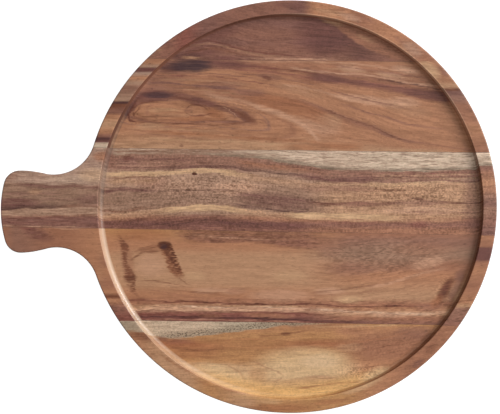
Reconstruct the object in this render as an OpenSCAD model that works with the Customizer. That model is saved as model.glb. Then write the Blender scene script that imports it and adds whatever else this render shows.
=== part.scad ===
// Round pizza serving board with a short handle.
// Five solid hardwood staves, edge-glued side by side, then cut to shape as one:
// a disc with a shallow tray recess, a flat rim, a short waisted handle and
// eased edges all round. Millimetres, +Z up. The origin is on the underside, on the
// axis of the disc, and the handle points along -X.

/* [Board] */
// Diameter of the round part
disc_d = 356; // [320:1:400]
// Thickness of the board
board_t = 19; // [15:0.5:25]
// Radius of the round-over on the outer edges, top and bottom
edge_r = 1.25; // [0.75:0.25:4]

/* [Recess] */
// Width of the rim, from the outer edge to the wall of the recess
rim_w = 12; // [9:0.5:25]
// Depth of the recess below the rim
recess_depth = 5.5; // [3:0.5:9]
// Radius of the cove where the recess floor turns up into the wall, held to what the depth allows
cove_r = 4.5; // [1:0.25:7]
// Radius of the eased lip where the wall meets the rim
lip_r = 0.8; // [0.3:0.1:1.5]

/* [Handle] */
// How far the handle stands out from the disc
handle_l = 72; // [66:1:110]
// Width of the handle at its widest, near the end
handle_w = 71; // [66:0.5:90]
// Width of the handle at its waist
waist_w = 63; // [50:0.5:65]
// Radius of the hollow that runs from the waist out to the disc
fillet_r = 36; // [20:0.5:45]
// Radius of the two corners at the end
corner_r = 14; // [6:0.5:20]
// Radius of the bowed end
end_r = 98; // [60:1:200]

/* [Staves] */
// Thickness of each glue line
glue_t = 0.2; // [0.1:0.05:0.4]
// Joint 1: distance from the middle of the disc
seam_1 = 126.5; // [115:0.5:140]
// Joint 1: angle to the handle
seam_1_deg = -1.6; // [-4:0.1:4]
// Joint 2: distance from the middle of the disc
seam_2 = 48.75; // [40:0.25:55]
// Joint 2: angle to the handle
seam_2_deg = -1.8; // [-4:0.1:4]
// Joint 3: distance from the middle of the disc, on the near side
seam_3 = -21.75; // [-30:0.25:-10]
// Joint 3: angle to the handle
seam_3_deg = -2.1; // [-4:0.1:4]
// Joint 4: distance from the middle of the disc, on the near side
seam_4 = -100.5; // [-115:0.5:-90]
// Joint 4: angle to the handle
seam_4_deg = -1.9; // [-4:0.1:4]

/* [Hidden] */
$fn = 180;

R = disc_d / 2;
T = board_t;
floor_z = T - recess_depth;
wall_r = R - rim_w;
cove = min(cove_r, recess_depth - lip_r - 0.2);
big = 700;

// The handle's half outline is a chain of tangent arcs, from the disc to its end.
// The waist and the swell share the run between the disc's hollow and the corner.
reach = R + handle_l;
hw = handle_w / 2;
ww = waist_w / 2;
fil_c = [-sqrt(pow(R + fillet_r, 2) - pow(ww + fillet_r, 2)), ww + fillet_r];
end_c = [end_r - reach, 0];
cor_c = [end_c[0] - sqrt(pow(end_r - corner_r, 2) - pow(hw - corner_r, 2)), hw - corner_r];
run = fil_c[0] - cor_c[0];
sway = (run * run + pow(hw - ww, 2)) / (2 * (hw - ww));
waist_r = 0.35 * sway;
bulge_r = 0.65 * sway;
wai_c = [fil_c[0], ww + waist_r];
bul_c = [cor_c[0], hw - bulge_r];

function bearing(from, to) = let (d = to - from, a = atan2(d[1], d[0])) a < 0 ? a + 360 : a;
function arc(c, r, a0, a1, n) = [for (i = [0:n - 1]) let (a = a0 + (a1 - a0) * i / n) c + r * [cos(a), sin(a)]];

a_disc = bearing([0, 0], fil_c);
a_waist = bearing(wai_c, bul_c);
a_end = bearing(end_c, cor_c);

// Half outline, drawn in by d all along. Convex arcs shrink and hollow arcs grow.
function half_outline(d) = concat(
    arc([0, 0], R - d, 0, a_disc, 66),
    arc(fil_c, fillet_r + d, a_disc + 180, 270, 14),
    arc(wai_c, waist_r + d, 270, a_waist, 4),
    arc(bul_c, bulge_r - d, a_waist - 180, 90, 5),
    arc(cor_c, corner_r - d, 90, a_end, 9),
    arc(end_c, end_r - d, a_end, 180, 6),
    [[d - reach, 0]]);

// Edge section from the underside up: inset from the outline, and height.
steps = 5;
edge_rows = concat(
    [for (i = [0:steps]) let (a = 90 * i / steps) [edge_r * (1 - sin(a)), edge_r * (1 - cos(a))]],
    [for (i = [0:steps]) let (a = 90 * i / steps) [edge_r * (1 - cos(a)), T - edge_r * (1 - sin(a))]]);

// Whole blank with the handle: the outline's edge section, closed by a top and a bottom face.
module board_blank() {
    m = len(half_outline(0)) - 1;
    n = 2 * m;
    rows = len(edge_rows);
    pts = [for (row = edge_rows) let (o = half_outline(row[0]))
           each concat([for (p = o) [p[0], p[1], row[1]]],
                       [for (i = [m - 1:-1:1]) [o[i][0], -o[i][1], row[1]]])];
    sides = [for (j = [0:rows - 2], i = [0:n - 1]) let (k = (i + 1) % n)
             each [[j * n + i, (j + 1) * n + k, j * n + k], [j * n + i, (j + 1) * n + i, (j + 1) * n + k]]];
    function low(i) = (n - i) % n;
    caps = [for (i = [0:m - 1]) let (u = i, v = i + 1, lu = low(i), lv = low(i + 1), t = (rows - 1) * n)
            each concat(u == lu ? [] : [[u, v, lu], [t + u, t + lu, t + v]],
                        v == lv ? [] : [[v, lv, lu], [t + v, t + lu, t + lv]])];
    polyhedron(points = pts, faces = concat(sides, caps), convexity = 6);
}

// Plain round blank with the same edge section, for the staves that the handle doesn't reach.
module disc_blank() rotate_extrude() polygon(concat([[0, 0]], [for (row = edge_rows) [R - row[0], row[1]]], [[0, T]]));

// What the tray cutter takes away: floor, cove, wall and a lip eased by three narrow bevels.
module recess_cut() {
    rotate_extrude() {
        translate([0, floor_z]) square([wall_r - cove, recess_depth + 1]);
        translate([wall_r - cove, floor_z + cove]) circle(cove);
        translate([0, floor_z + cove]) square([wall_r, recess_depth - cove - lip_r]);
        polygon(concat(
            [[0, T + 1], [0, T - lip_r]],
            [for (a = [0:30:90]) [wall_r + lip_r * (1 - cos(a)), T - lip_r * (1 - sin(a))]],
            [[wall_r + lip_r, T + 1]]));
    }
}

// Half-space on the far side of a joint.
module beyond(offset_y, deg) rotate([0, 0, deg]) translate([-big / 2, offset_y, -big / 2]) cube(big);
// Half-space on the near side of a joint.
module before(offset_y, deg) rotate([0, 0, deg]) translate([-big / 2, offset_y - big, -big / 2]) cube(big);

// Film of adhesive in a joint.
module glue_film(offset_y, deg) {
    rotate([0, 0, deg]) translate([-big / 2, offset_y - glue_t / 2, -big / 2]) cube([big, glue_t, big]);
}

g = glue_t / 2;

module stave_1_far_edge() color("#8a6352") difference() {
    intersection() { disc_blank(); beyond(seam_1 + g, seam_1_deg); }
    recess_cut();
}

module stave_2_upper() color("#a97a58") difference() {
    intersection() { board_blank(); before(seam_1 - g, seam_1_deg); beyond(seam_2 + g, seam_2_deg); }
    recess_cut();
}

module stave_3_middle() color("#9c7660") difference() {
    intersection() { board_blank(); before(seam_2 - g, seam_2_deg); beyond(seam_3 + g, seam_3_deg); }
    recess_cut();
}

module stave_4_lower() color("#ab8060") difference() {
    intersection() { board_blank(); before(seam_3 - g, seam_3_deg); beyond(seam_4 + g, seam_4_deg); }
    recess_cut();
}

module stave_5_near_edge() color("#ad845c") difference() {
    intersection() { disc_blank(); before(seam_4 - g, seam_4_deg); }
    recess_cut();
}

module glue_line_1_2() color("#5b4034") difference() {
    intersection() { disc_blank(); glue_film(seam_1, seam_1_deg); }
    recess_cut();
}

module glue_line_2_3() color("#5b4034") difference() {
    intersection() { board_blank(); glue_film(seam_2, seam_2_deg); }
    recess_cut();
}

module glue_line_3_4() color("#5b4034") difference() {
    intersection() { board_blank(); glue_film(seam_3, seam_3_deg); }
    recess_cut();
}

module glue_line_4_5() color("#5b4034") difference() {
    intersection() { disc_blank(); glue_film(seam_4, seam_4_deg); }
    recess_cut();
}

stave_1_far_edge();
stave_2_upper();
stave_3_middle();
stave_4_lower();
stave_5_near_edge();
glue_line_1_2();
glue_line_2_3();
glue_line_3_4();
glue_line_4_5();
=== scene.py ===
import math

import bmesh
import bpy
import numpy as np
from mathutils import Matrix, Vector


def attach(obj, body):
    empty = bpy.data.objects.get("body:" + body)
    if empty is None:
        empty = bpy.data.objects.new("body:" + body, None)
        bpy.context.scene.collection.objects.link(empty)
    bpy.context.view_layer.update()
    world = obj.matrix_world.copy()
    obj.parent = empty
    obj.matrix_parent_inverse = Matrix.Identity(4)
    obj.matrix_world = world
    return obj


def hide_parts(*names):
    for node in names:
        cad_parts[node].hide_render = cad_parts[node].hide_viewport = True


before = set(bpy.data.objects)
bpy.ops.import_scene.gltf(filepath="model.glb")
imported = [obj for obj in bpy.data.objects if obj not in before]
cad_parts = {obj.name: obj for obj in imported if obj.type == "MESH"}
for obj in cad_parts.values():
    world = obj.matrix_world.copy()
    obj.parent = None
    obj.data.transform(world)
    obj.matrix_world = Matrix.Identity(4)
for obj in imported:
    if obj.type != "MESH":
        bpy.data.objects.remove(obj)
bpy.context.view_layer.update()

# ---------------------------------------------------------------- dimensions, mm, as in the CAD part
R, T, EDGE = 178.0, 19.0, 1.25
RIM, DEPTH, COVE, LIP = 12.0, 5.5, 4.5, 0.8
WALL, FLOOR = R - RIM, T - DEPTH
HANDLE_L, HANDLE_W, WAIST_W = 72.0, 71.0, 63.0
FILLET, CORNER, END = 36.0, 14.0, 98.0
GLUE = 0.2
SEAMS = [(126.5, -1.6), (48.75, -1.8), (-21.75, -2.1), (-100.5, -1.9)]

# The board lies turned by this much under the camera.
TURN = math.radians(1.06)
# Figure units: one is this many mm. u runs to the right and v towards the near edge, as the camera sees them,
# and the middle of the disc is at (MID_U, MID_V).
UNIT = 0.8616
MID_U, MID_V = 290.57, 206.61


# ---------------------------------------------------------------- shape
def arc(c, r, a0, a1, n):
    a = np.radians(np.linspace(a0, a1, n, endpoint=False))
    return np.stack([c[0] + r * np.cos(a), c[1] + r * np.sin(a)], 1)


def bearing(p, q):
    return math.degrees(math.atan2(q[1] - p[1], q[0] - p[0])) % 360


def half_outline(d):
    """The outline from the far end of the disc round to the tip of the handle, drawn in by d, and each point's bearing on the disc."""
    reach, hw, ww = R + HANDLE_L, HANDLE_W / 2, WAIST_W / 2
    fil = (-math.sqrt((R + FILLET) ** 2 - (ww + FILLET) ** 2), ww + FILLET)
    end = (END - reach, 0)
    cor = (end[0] - math.sqrt((END - CORNER) ** 2 - (hw - CORNER) ** 2), hw - CORNER)
    run = fil[0] - cor[0]
    sway = (run ** 2 + (hw - ww) ** 2) / (2 * (hw - ww))
    rw, rb = 0.35 * sway, 0.65 * sway
    wai, bul = (fil[0], ww + rw), (cor[0], hw - rb)
    ad, aw, ae = bearing((0, 0), fil), bearing(wai, bul), bearing(end, cor)
    disc = arc((0, 0), R - d, 0, ad, 168)
    rest = [arc(fil, FILLET + d, ad + 180, 270, 30), arc(wai, rw + d, 270, aw, 8), arc(bul, rb - d, aw - 180, 90, 12),
            arc(cor, CORNER - d, 90, ae, 18), arc(end, END - d, ae, 180, 16), np.array([[d - reach, 0.0]])]
    n = sum(len(x) for x in rest)
    turn = np.concatenate([np.linspace(0, ad, 168, endpoint=False), np.linspace(ad, 180, n)])
    return np.concatenate([disc] + rest), turn


def whole(half):
    """Closes a half outline with its mirror image."""
    back = half[-2:0:-1] * np.array([1, -1])
    return np.concatenate([half, back])


def board_mesh():
    """The whole board as one closed mesh: outer edge, rim, lip, wall, cove, floor and underside."""
    turn = half_outline(0)[1]
    turns = np.radians(np.concatenate([turn, 360 - turn[-2:0:-1]]))
    ring = lambda r: np.stack([r * np.cos(turns), r * np.sin(turns)], 1)
    rows = []
    soft = 0.3
    rows.append((whole(half_outline(EDGE + soft)[0]), 0.0))
    for a in np.linspace(0, 90, 9):
        s, c = math.sin(math.radians(a)), math.cos(math.radians(a))
        rows.append((whole(half_outline(EDGE * (1 - s))[0]), EDGE * (1 - c)))
    for z in np.linspace(EDGE, T - EDGE, 5)[1:-1]:
        rows.append((whole(half_outline(0)[0]), z))
    for a in np.linspace(0, 90, 9):
        s, c = math.sin(math.radians(a)), math.cos(math.radians(a))
        rows.append((whole(half_outline(EDGE * (1 - c))[0]), T - EDGE * (1 - s)))
    rows.append((whole(half_outline(EDGE + soft)[0]), T))
    top = len(rows)
    rows.append((ring(WALL + LIP + soft), T))
    for a in np.linspace(90, 0, 7):
        s, c = math.sin(math.radians(a)), math.cos(math.radians(a))
        rows.append((ring(WALL + LIP * (1 - c)), T - LIP * (1 - s)))
    for a in np.linspace(0, 90, 13):
        s, c = math.sin(math.radians(a)), math.cos(math.radians(a))
        rows.append((ring(WALL - COVE * (1 - c)), FLOOR + COVE * (1 - s)))
    rows.append((ring(WALL - COVE - soft), FLOOR))
    n = len(turns)
    bm = bmesh.new()
    loops = [[bm.verts.new((p[0] * 0.001, p[1] * 0.001, z * 0.001)) for p in pts] for pts, z in rows]
    for j in range(1, len(loops)):
        lo, hi = loops[j - 1], loops[j]
        for i in range(n if j != top else 0):
            k = (i + 1) % n
            bm.faces.new((lo[i], lo[k], hi[k], hi[i]))
    # the flat top of the rim and the handle, with the round hole of the recess in it
    flat = [bm.edges.get((loop[i], loop[(i + 1) % n])) for loop in loops[top - 1:top + 1] for i in range(n)]
    bmesh.ops.triangle_fill(bm, use_beauty=True, edges=flat, normal=(0, 0, 1))
    bm.faces.new(loops[0][::-1])
    bm.faces.new(loops[-1])
    # the flat faces are cut into strips of even width
    bm.normal_update()
    for x in np.arange(-240, 178, 14.0):
        flat = [f for f in bm.faces if abs(f.normal.z) > 0.9999]
        geom = flat + list({e for f in flat for e in f.edges}) + list({v for f in flat for v in f.verts})
        bmesh.ops.bisect_plane(bm, geom=geom, dist=1e-7, plane_co=(x * 0.001, 0, 0), plane_no=(1, 0, 0))
    return bm


def cut(bm, offset, deg, keep_far):
    """Cuts the mesh by an upright plane and closes it there."""
    a = math.radians(deg)
    no = Vector((-math.sin(a), math.cos(a), 0))
    out = bmesh.ops.bisect_plane(bm, geom=bm.verts[:] + bm.edges[:] + bm.faces[:], dist=1e-7, plane_co=no * offset * 0.001,
                                 plane_no=no, clear_inner=keep_far, clear_outer=not keep_far)
    edges = [e for e in out["geom_cut"] if isinstance(e, bmesh.types.BMEdge)]
    edges = [e for e in edges if e.is_valid and len(e.link_faces) == 1]
    made = bmesh.ops.contextual_create(bm, geom=edges)["faces"]
    bmesh.ops.triangulate(bm, faces=made)


def piece(name, board, near, far, node):
    """The part of the board between two joints, as a piece of its own."""
    bm = board.copy()
    if near is not None:
        cut(bm, near[0], near[1], True)
    if far is not None:
        cut(bm, far[0], far[1], False)
    bmesh.ops.recalc_face_normals(bm, faces=bm.faces[:])
    for f in bm.faces:
        f.smooth = True
    for e in bm.edges:
        e.smooth = len(e.link_faces) == 2 and e.calc_face_angle(0) < math.radians(32)
    loose = [e for e in bm.edges if len(e.link_faces) != 2]
    if loose:
        raise RuntimeError(f"{name}: {len(loose)} open edges")
    mesh = bpy.data.meshes.new(name)
    bm.to_mesh(mesh)
    bm.free()
    obj = bpy.data.objects.new(name, mesh)
    bpy.context.scene.collection.objects.link(obj)
    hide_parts(node)
    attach(obj, "root")
    return obj


# ---------------------------------------------------------------- node trees written as sums
class S:
    """A socket of a node tree that can be added, multiplied and so on."""

    def __init__(self, t, sock):
        self.t, self.sock = t, sock

    def __add__(self, o): return self.t.math("ADD", self, o)
    def __radd__(self, o): return self.t.math("ADD", o, self)
    def __sub__(self, o): return self.t.math("SUBTRACT", self, o)
    def __rsub__(self, o): return self.t.math("SUBTRACT", o, self)
    def __mul__(self, o): return self.t.math("MULTIPLY", self, o)
    def __rmul__(self, o): return self.t.math("MULTIPLY", o, self)
    def __truediv__(self, o): return self.t.math("DIVIDE", self, o)
    def __neg__(self): return self.t.math("MULTIPLY", self, -1.0)


def tone(code):
    """An sRGB tone as linear colour."""
    rgb = [int(code[i:i + 2], 16) / 255 for i in (0, 2, 4)]
    return [c / 12.92 if c <= 0.04045 else ((c + 0.055) / 1.055) ** 2.4 for c in rgb] + [1.0]


class Tree:
    def __init__(self, name):
        self.mat = bpy.data.materials.new(name)
        self.mat.use_nodes = True
        self.nt = self.mat.node_tree
        self.nt.nodes.clear()

    def node(self, kind, **props):
        n = self.nt.nodes.new(kind)
        for k, v in props.items():
            setattr(n, k, v)
        return n

    def put(self, value, sock):
        if isinstance(value, S):
            self.nt.links.new(value.sock, sock)
        else:
            sock.default_value = value

    def math(self, op, a, b=None, c=None, clamp=False):
        n = self.node("ShaderNodeMath", operation=op, use_clamp=clamp)
        for v, s in zip((a, b, c), n.inputs):
            if v is not None:
                self.put(v, s)
        return S(self, n.outputs[0])

    def xyz(self, x, y, z):
        n = self.node("ShaderNodeCombineXYZ")
        for v, s in zip((x, y, z), n.inputs):
            self.put(v, s)
        return S(self, n.outputs[0])

    def step(self, x, a, b):
        """0 below a, 1 above b, smooth between."""
        n = self.node("ShaderNodeMapRange", interpolation_type="SMOOTHSTEP")
        self.put(x, n.inputs["Value"])
        self.put(a, n.inputs["From Min"])
        self.put(b, n.inputs["From Max"])
        return S(self, n.outputs[0])

    def span(self, x, a, b, soft_a, soft_b):
        """1 between a and b, fading out over soft_a before a and soft_b after b."""
        return self.step(x, a - soft_a, a) * (1.0 - self.step(x, b, b + soft_b))

    def noise(self, x, y, z, detail=2.0, rough=0.5, warp=0.0):
        """Signed noise, about -1 to 1."""
        n = self.node("ShaderNodeTexNoise")
        self.put(self.xyz(x, y, z), n.inputs["Vector"])
        n.inputs["Scale"].default_value = 1.0
        n.inputs["Detail"].default_value = detail
        n.inputs["Roughness"].default_value = rough
        n.inputs["Distortion"].default_value = warp
        return self.math("MULTIPLY_ADD", S(self, n.outputs[0]), 2.0, -1.0)

    def mix(self, fac, a, b):
        n = self.node("ShaderNodeMix", data_type="RGBA")
        self.put(fac, n.inputs[0])
        for v, i in ((a, 6), (b, 7)):
            self.put(v if isinstance(v, S) else tone(v), n.inputs[i])
        return S(self, n.outputs[2])

    def shade(self, col, k):
        """Colour times k."""
        n = self.node("ShaderNodeVectorMath", operation="SCALE")
        self.put(col, n.inputs[0])
        self.put(k, n.inputs["Scale"])
        return S(self, n.outputs[0])

    def ramp(self, x, lo, hi, stops):
        """Colour along x, from stops of (place, tone)."""
        n = self.node("ShaderNodeValToRGB")
        self.put((x - lo) / (hi - lo), n.inputs[0])
        cr = n.color_ramp
        cr.interpolation = "EASE"
        while len(cr.elements) > 1:
            cr.elements.remove(cr.elements[-1])
        cr.elements[0].position = (stops[0][0] - lo) / (hi - lo)
        cr.elements[0].color = tone(stops[0][1])
        for p, c in stops[1:]:
            cr.elements.new((p - lo) / (hi - lo)).color = tone(c)
        return S(self, n.outputs[0])

    def curve(self, x, pts, lo=0.0, hi=500.0, base=-60.0, top=540.0, plain=False):
        """A smooth curve through a few points, level beyond its ends. A plain one runs from 0 to 1 both ways."""
        n = self.node("ShaderNodeFloatCurve")
        self.put(x if plain else (x - lo) / (hi - lo), n.inputs["Value"])
        c = n.mapping.curves[0]
        place = lambda p: ((p[0] - lo) / (hi - lo), (p[1] - base) / (top - base))
        c.points[0].location = place(pts[0])
        c.points[1].location = place(pts[-1])
        for p in pts[1:-1]:
            c.points.new(*place(p))
        for p in c.points:
            p.handle_type = "AUTO"
        n.mapping.extend = "HORIZONTAL"
        n.mapping.update()
        out = S(self, n.outputs[0])
        return out if plain else self.math("MULTIPLY_ADD", out, top - base, base)


# ---------------------------------------------------------------- tones of the wood
CREAM, PALE, GREY, STRAW, ASH, MOSS = "dabfa4", "c8ac92", "b8a48c", "b0937a", "8a7560", "5d4d3c"
HONEY, GOLD, SAND, BLUSH, TAN = "d2ae84", "d8a86e", "c89f78", "c49678", "b38766"
LINEN = "d0b69b"
FAWN, HIDE = "a27d65", "ab8974"
AMBER, WARM, CLAY, RUST, OLIVE = "b07e54", "ac7858", "9c6a50", "9c6444", "94705a"
BROWN, EARTH, ROSE, MAUVE, PLUM = "906653", "885c4b", "845043", "7e564a", "6f463e"
UMBER, WINE, SOOT, NIGHT, BARK = "744632", "66382d", "52322e", "3d2c32", "4f2a1e"


class Group(Tree):
    """A piece of node tree that is used many times over. An input that starts with C is a colour."""

    def __init__(self, name, ins, outs):
        self.nt = bpy.data.node_groups.new(name, "ShaderNodeTree")
        for names, way in ((ins, "INPUT"), (outs, "OUTPUT")):
            for k in names:
                self.nt.interface.new_socket(k, in_out=way, socket_type="NodeSocketColor" if k[0] == "C" else "NodeSocketFloat")
        self.a, self.z = self.node("NodeGroupInput"), self.node("NodeGroupOutput")

    def __getitem__(self, k):
        return S(self, self.a.outputs[k])

    def give(self, k, s):
        self.nt.links.new(s.sock, self.z.inputs[k])

    def held(self, m):
        """Holds a mask to its run along u, to or away from the rim, and breaks it up."""
        m = m * self.step(self["U"], self["a0"], self["a1"])
        m = m * (1.0 - self.step(self["U"], self["b0"], self["b1"]))
        m = m * (self["k0"] + self["Rim"] * self["k1"])
        return m * (1.0 - self["Gaps"] * self["Broken"])

    def even(self, n, w):
        """Noise brought to an even spread from -1 to 1."""
        return self.math("MULTIPLY_ADD", self.step(n, -w, w), 2.0, -1.0)


HOLD = ["U", "Rim", "Gaps", "a0", "a1", "b0", "b1", "k0", "k1", "Broken", "Strength", "Colour", "C tone"]


def line_group():
    g = Group("grain_line", ["F", "Line", "Up", "Down"] + HOLD, ["Colour", "Mask"])
    d = g["F"] - g.math("MULTIPLY_ADD", g["Line"], 600.0, -60.0)
    m = g.held(g.step(d, g["Up"] * -1.35, 0.0) * (1.0 - g.step(d, 0.0, g["Down"] * 1.35)))
    g.give("Colour", g.mix(m * g["Strength"], g["Colour"], g["C tone"]))
    g.give("Mask", m)
    return g


def band_group():
    g = Group("grain_band", ["F", "Top", "Low", "Soft top", "Soft low"] + HOLD, ["Colour", "Mask"])
    e = g["F"] - g.math("MULTIPLY_ADD", g["Top"], 600.0, -60.0)
    d = g["F"] - g.math("MULTIPLY_ADD", g["Low"], 600.0, -60.0)
    m = g.step(e, g["Soft top"] * -0.5, g["Soft top"] * 0.5) * (1.0 - g.step(d, g["Soft low"] * -0.5, g["Soft low"] * 0.5))
    m = g.held(m)
    g.give("Colour", g.mix(m * g["Strength"], g["Colour"], g["C tone"]))
    g.give("Mask", m)
    return g


def patch_group():
    g = Group("grain_patch", ["F", "Mid u", "Mid v", "ca", "sa", "cb", "sb", "Soft"] + HOLD, ["Colour", "Mask"])
    du, dv = g["U"] - g["Mid u"], g["F"] - g["Mid v"]
    p, q = du * g["ca"] + dv * g["sa"], dv * g["cb"] - du * g["sb"]
    m = g.held(1.0 - g.step(p * p + q * q, g["Soft"], 1.0))
    g.give("Colour", g.mix(m * g["Strength"], g["Colour"], g["C tone"]))
    g.give("Mask", m)
    return g


def grain_group():
    """How much lighter or darker the wood is: streaks along the grain, broad and fine, and a fleck where the grain curls."""
    g = Group("grain_streaks", ["U", "Layer", "F", "Seed", "Broad", "Streak", "Fleck", "Long"], ["Sum"])
    a = g.even(g.noise(g["U"] / 90.0, g["Layer"] / 4.0, g["Seed"], detail=3.0, rough=0.6), 0.5)
    b = g.even(g.noise(g["U"] / 20.0, g["Layer"] / 1.2, g["Seed"] + 2.3, detail=2.0, rough=0.6), 0.4)
    wob = g.noise(g["U"] / 10.0, g["F"] / 4.0, g["Seed"] + 4.1, detail=1.0)
    c = g.even(g.noise(g["U"] / g["Long"], (g["F"] + wob * 3.0) / 1.0, g["Seed"] + 6.7, detail=1.0), 0.35)
    g.give("Sum", (a * g["Broad"] + b * g["Streak"]) + c * g["Fleck"])
    return g


LINE, BAND, PATCH, STREAKS = line_group(), band_group(), patch_group(), grain_group()


def moved(pts, dv):
    """A curve moved by dv across the grain."""
    return [(p[0], p[1] + dv) for p in pts]


class Wood(Tree):
    """One stave's wood. u, v and w are figure units along, across and up. Features are placed by u and by f, which is v
    followed down into the wood, where the growth layers lean, with a small waver. The grain runs along lines of equal layer."""

    def __init__(self, name, lean, seed, flow=None, ragged=1.0):
        super().__init__(name)
        pos = self.node("ShaderNodeTexCoord")
        sep = self.node("ShaderNodeSeparateXYZ")
        self.nt.links.new(pos.outputs["Object"], sep.inputs[0])
        x, y, z = (S(self, o) for o in sep.outputs)
        k, c, s = 1000 / UNIT, math.cos(TURN), math.sin(TURN)
        self.x, self.y, self.z = x * 1000.0, y * 1000.0, z * 1000.0
        self.u = self.math("MULTIPLY_ADD", x, k * c, MID_U) - y * (k * s)
        self.v = (MID_V - x * (k * s)) - y * (k * c)
        self.w = self.math("MULTIPLY_ADD", z, k, -FLOOR / UNIT)
        self.r = self.math("SQRT", self.x * self.x + self.y * self.y)
        self.rim = self.step(self.z, FLOOR + 1.5, T - 1.5)
        self.seed = seed
        if isinstance(lean, (list, tuple)):
            lean = self.curve(self.u, lean, base=-2.0, top=2.0)
        flat = self.v + self.w * lean
        wide = self.noise(self.u / 60.0, flat / 12.0, seed, detail=1.0)
        rag = self.noise(self.u / 16.0, flat / 1.5, seed + 3.0, detail=2.0, rough=0.6)
        self.f = flat + (wide * 1.2 + rag * (2.6 * ragged))
        bend = 0.0 if flow is None else self.curve(self.u, flow, base=-60.0, top=60.0)
        self.flat, self.layer = flat, self.f - bend
        self.gaps = self.step(self.noise(self.u / 24.0, (flat - bend) / 1.2, seed + 5.0, detail=3.0, rough=0.65), -0.3, 0.35)
        self.plain = self.u
        self.u = self.u + rag * 0.02
        self.along = self.u / 500.0
        self.count = 0

    def settle(self, col):
        """Lets what comes next wait for the colour so far, so that the renderer holds few results at a time."""
        n = self.node("ShaderNodeRGBToBW")
        self.put(col, n.inputs[0])
        k = S(self, n.outputs[0]) * 0.0001
        self.f, self.u = self.f + k, self.u + k
        self.along = self.u / 500.0

    def trace(self, pts):
        """A curve over u as the groups take it."""
        return self.curve(self.along, [(p[0] / 500, p[1]) for p in pts], lo=0.0, hi=1.0, plain=True)

    def use(self, group, col, code, strength, at, rim, broken, **vals):
        self.count += 1
        if self.count % 12 == 0:
            self.settle(col)
        n = self.node("ShaderNodeGroup")
        n.node_tree = group.nt
        at = at or (-900, -800)
        at = tuple(at) + (800, 900) if len(at) == 2 else at
        k0, k1 = {None: (1.0, 0.0), 1: (0.0, 1.0), 0: (1.0, -1.0)}[rim]
        vals.update({"F": self.f, "U": self.u, "Rim": self.rim, "Gaps": self.gaps, "a0": at[0], "a1": at[1], "b0": at[2], "b1": at[3], "k0": k0, "k1": k1,
                     "Broken": broken, "Strength": strength, "Colour": col, "C tone": code if isinstance(code, S) else tone(code)})
        for k, v in vals.items():
            self.put(v, n.inputs[k])
        return S(self, n.outputs["Colour"]), S(self, n.outputs["Mask"])

    def line(self, col, pts, up, down, code, strength, at=None, rim=None, broken=0.5):
        """A line of another tone along a curve, fading over up units above it and down units below."""
        return self.use(LINE, col, code, strength, at, rim, broken, Line=self.trace(pts), Up=up, Down=down)[0]

    def band(self, col, top, low, soft, code, strength, at=None, rim=None, broken=0.3):
        """Another tone between two curves, either of which may be left out. Also gives its mask."""
        vals = {"Top": -9.0 if top is None else self.trace(top), "Low": 9.0 if low is None else self.trace(low), "Soft top": soft[0], "Soft low": soft[1]}
        return self.use(BAND, col, code, strength, at, rim, broken, **vals)

    def patch(self, col, cu, cv, a, b, code, strength, turn=0.0, rim=None, broken=0.4, soft=0.0):
        """A soft patch of another tone."""
        ct, st = math.cos(math.radians(turn)), math.sin(math.radians(turn))
        vals = {"Mid u": cu, "Mid v": cv, "ca": ct / a, "sa": st / a, "cb": ct / b, "sb": st / b, "Soft": soft}
        return self.use(PATCH, col, code, strength, None, rim, broken, **vals)[0]

    def zone(self, cu, cv, a, b, core=0.3):
        """A soft round-cornered area as a mask."""
        p, q = (self.u - cu) / a, (self.f - cv) / b
        return 1.0 - self.step(p * p + q * q, core, 1.0)

    def dashes(self, col, left, right, code, strength, at, fill=0.1, ends=9.0):
        """Dashes along the grain with ragged ends, between two curves that give u along v."""
        rag = self.noise(self.plain / 20.0, self.v / 1.5, self.seed + 9.0, detail=2.0, rough=0.7) * ends
        a, b = self.u - self.curve(self.v, left), self.u - self.curve(self.v, right)
        m = self.step(a + rag, -1.5, 1.5) * (1.0 - self.step(b - rag * 0.4, -1.5, 0.8))
        m = m * self.step(self.v, at[0], at[1]) * (1.0 - self.step(self.v, at[2], at[3]))
        cuts = self.step(self.noise(self.plain / 6.0, self.v / 1.3, self.seed + 8.0, detail=2.0, rough=0.6), fill - 0.25, fill + 0.25)
        return self.mix(m * (1.0 - cuts) * strength, col, code)

    def grain(self, col, broad, streak, fleck, length=2.2):
        """Lighter and yellower, or darker and redder, with the streaks of the grain."""
        n = self.node("ShaderNodeGroup")
        n.node_tree = STREAKS.nt
        for k, v in {"U": self.u, "Layer": self.layer, "F": self.f, "Seed": self.seed + 11.0, "Broad": broad, "Streak": streak, "Fleck": fleck, "Long": length}.items():
            self.put(v, n.inputs[k])
        v = self.node("ShaderNodeVectorMath", operation="MULTIPLY_ADD")
        self.nt.links.new(n.outputs[0], v.inputs[0])
        v.inputs[1].default_value = (0.94, 1.04, 1.10)
        v.inputs[2].default_value = (1, 1, 1)
        out = self.node("ShaderNodeVectorMath", operation="MULTIPLY")
        self.put(col, out.inputs[0])
        self.nt.links.new(v.outputs[0], out.inputs[1])
        return S(self, out.outputs[0])

    def finish(self, col, tint=(1.0, 1.0, 1.0), wall_painted_shade=0.1, wall_rough=-0.09, rough=0.50, wall_painted_highlight=0.0, cove_dull=0.0):
        # pores: short dark dashes along the grain, and dots on the end grain
        pore = self.noise(self.x / 4.5, self.layer * 2.4, self.z / 0.3, detail=1.0)
        pore = self.step(pore, 0.22, 0.55)
        fibre = self.noise(self.x / 8.0, self.layer * 5.0, self.z / 0.2, detail=2.0, rough=0.6)
        v = self.node("ShaderNodeVectorMath", operation="MULTIPLY_ADD")
        self.put(col, v.inputs[0])
        v.inputs[1].default_value = tint
        v.inputs[2].default_value = (-0.010, -0.010, -0.010)
        col = self.shade(S(self, v.outputs[0]), (1.04 - pore * 0.36) + fibre * 0.08)
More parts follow.
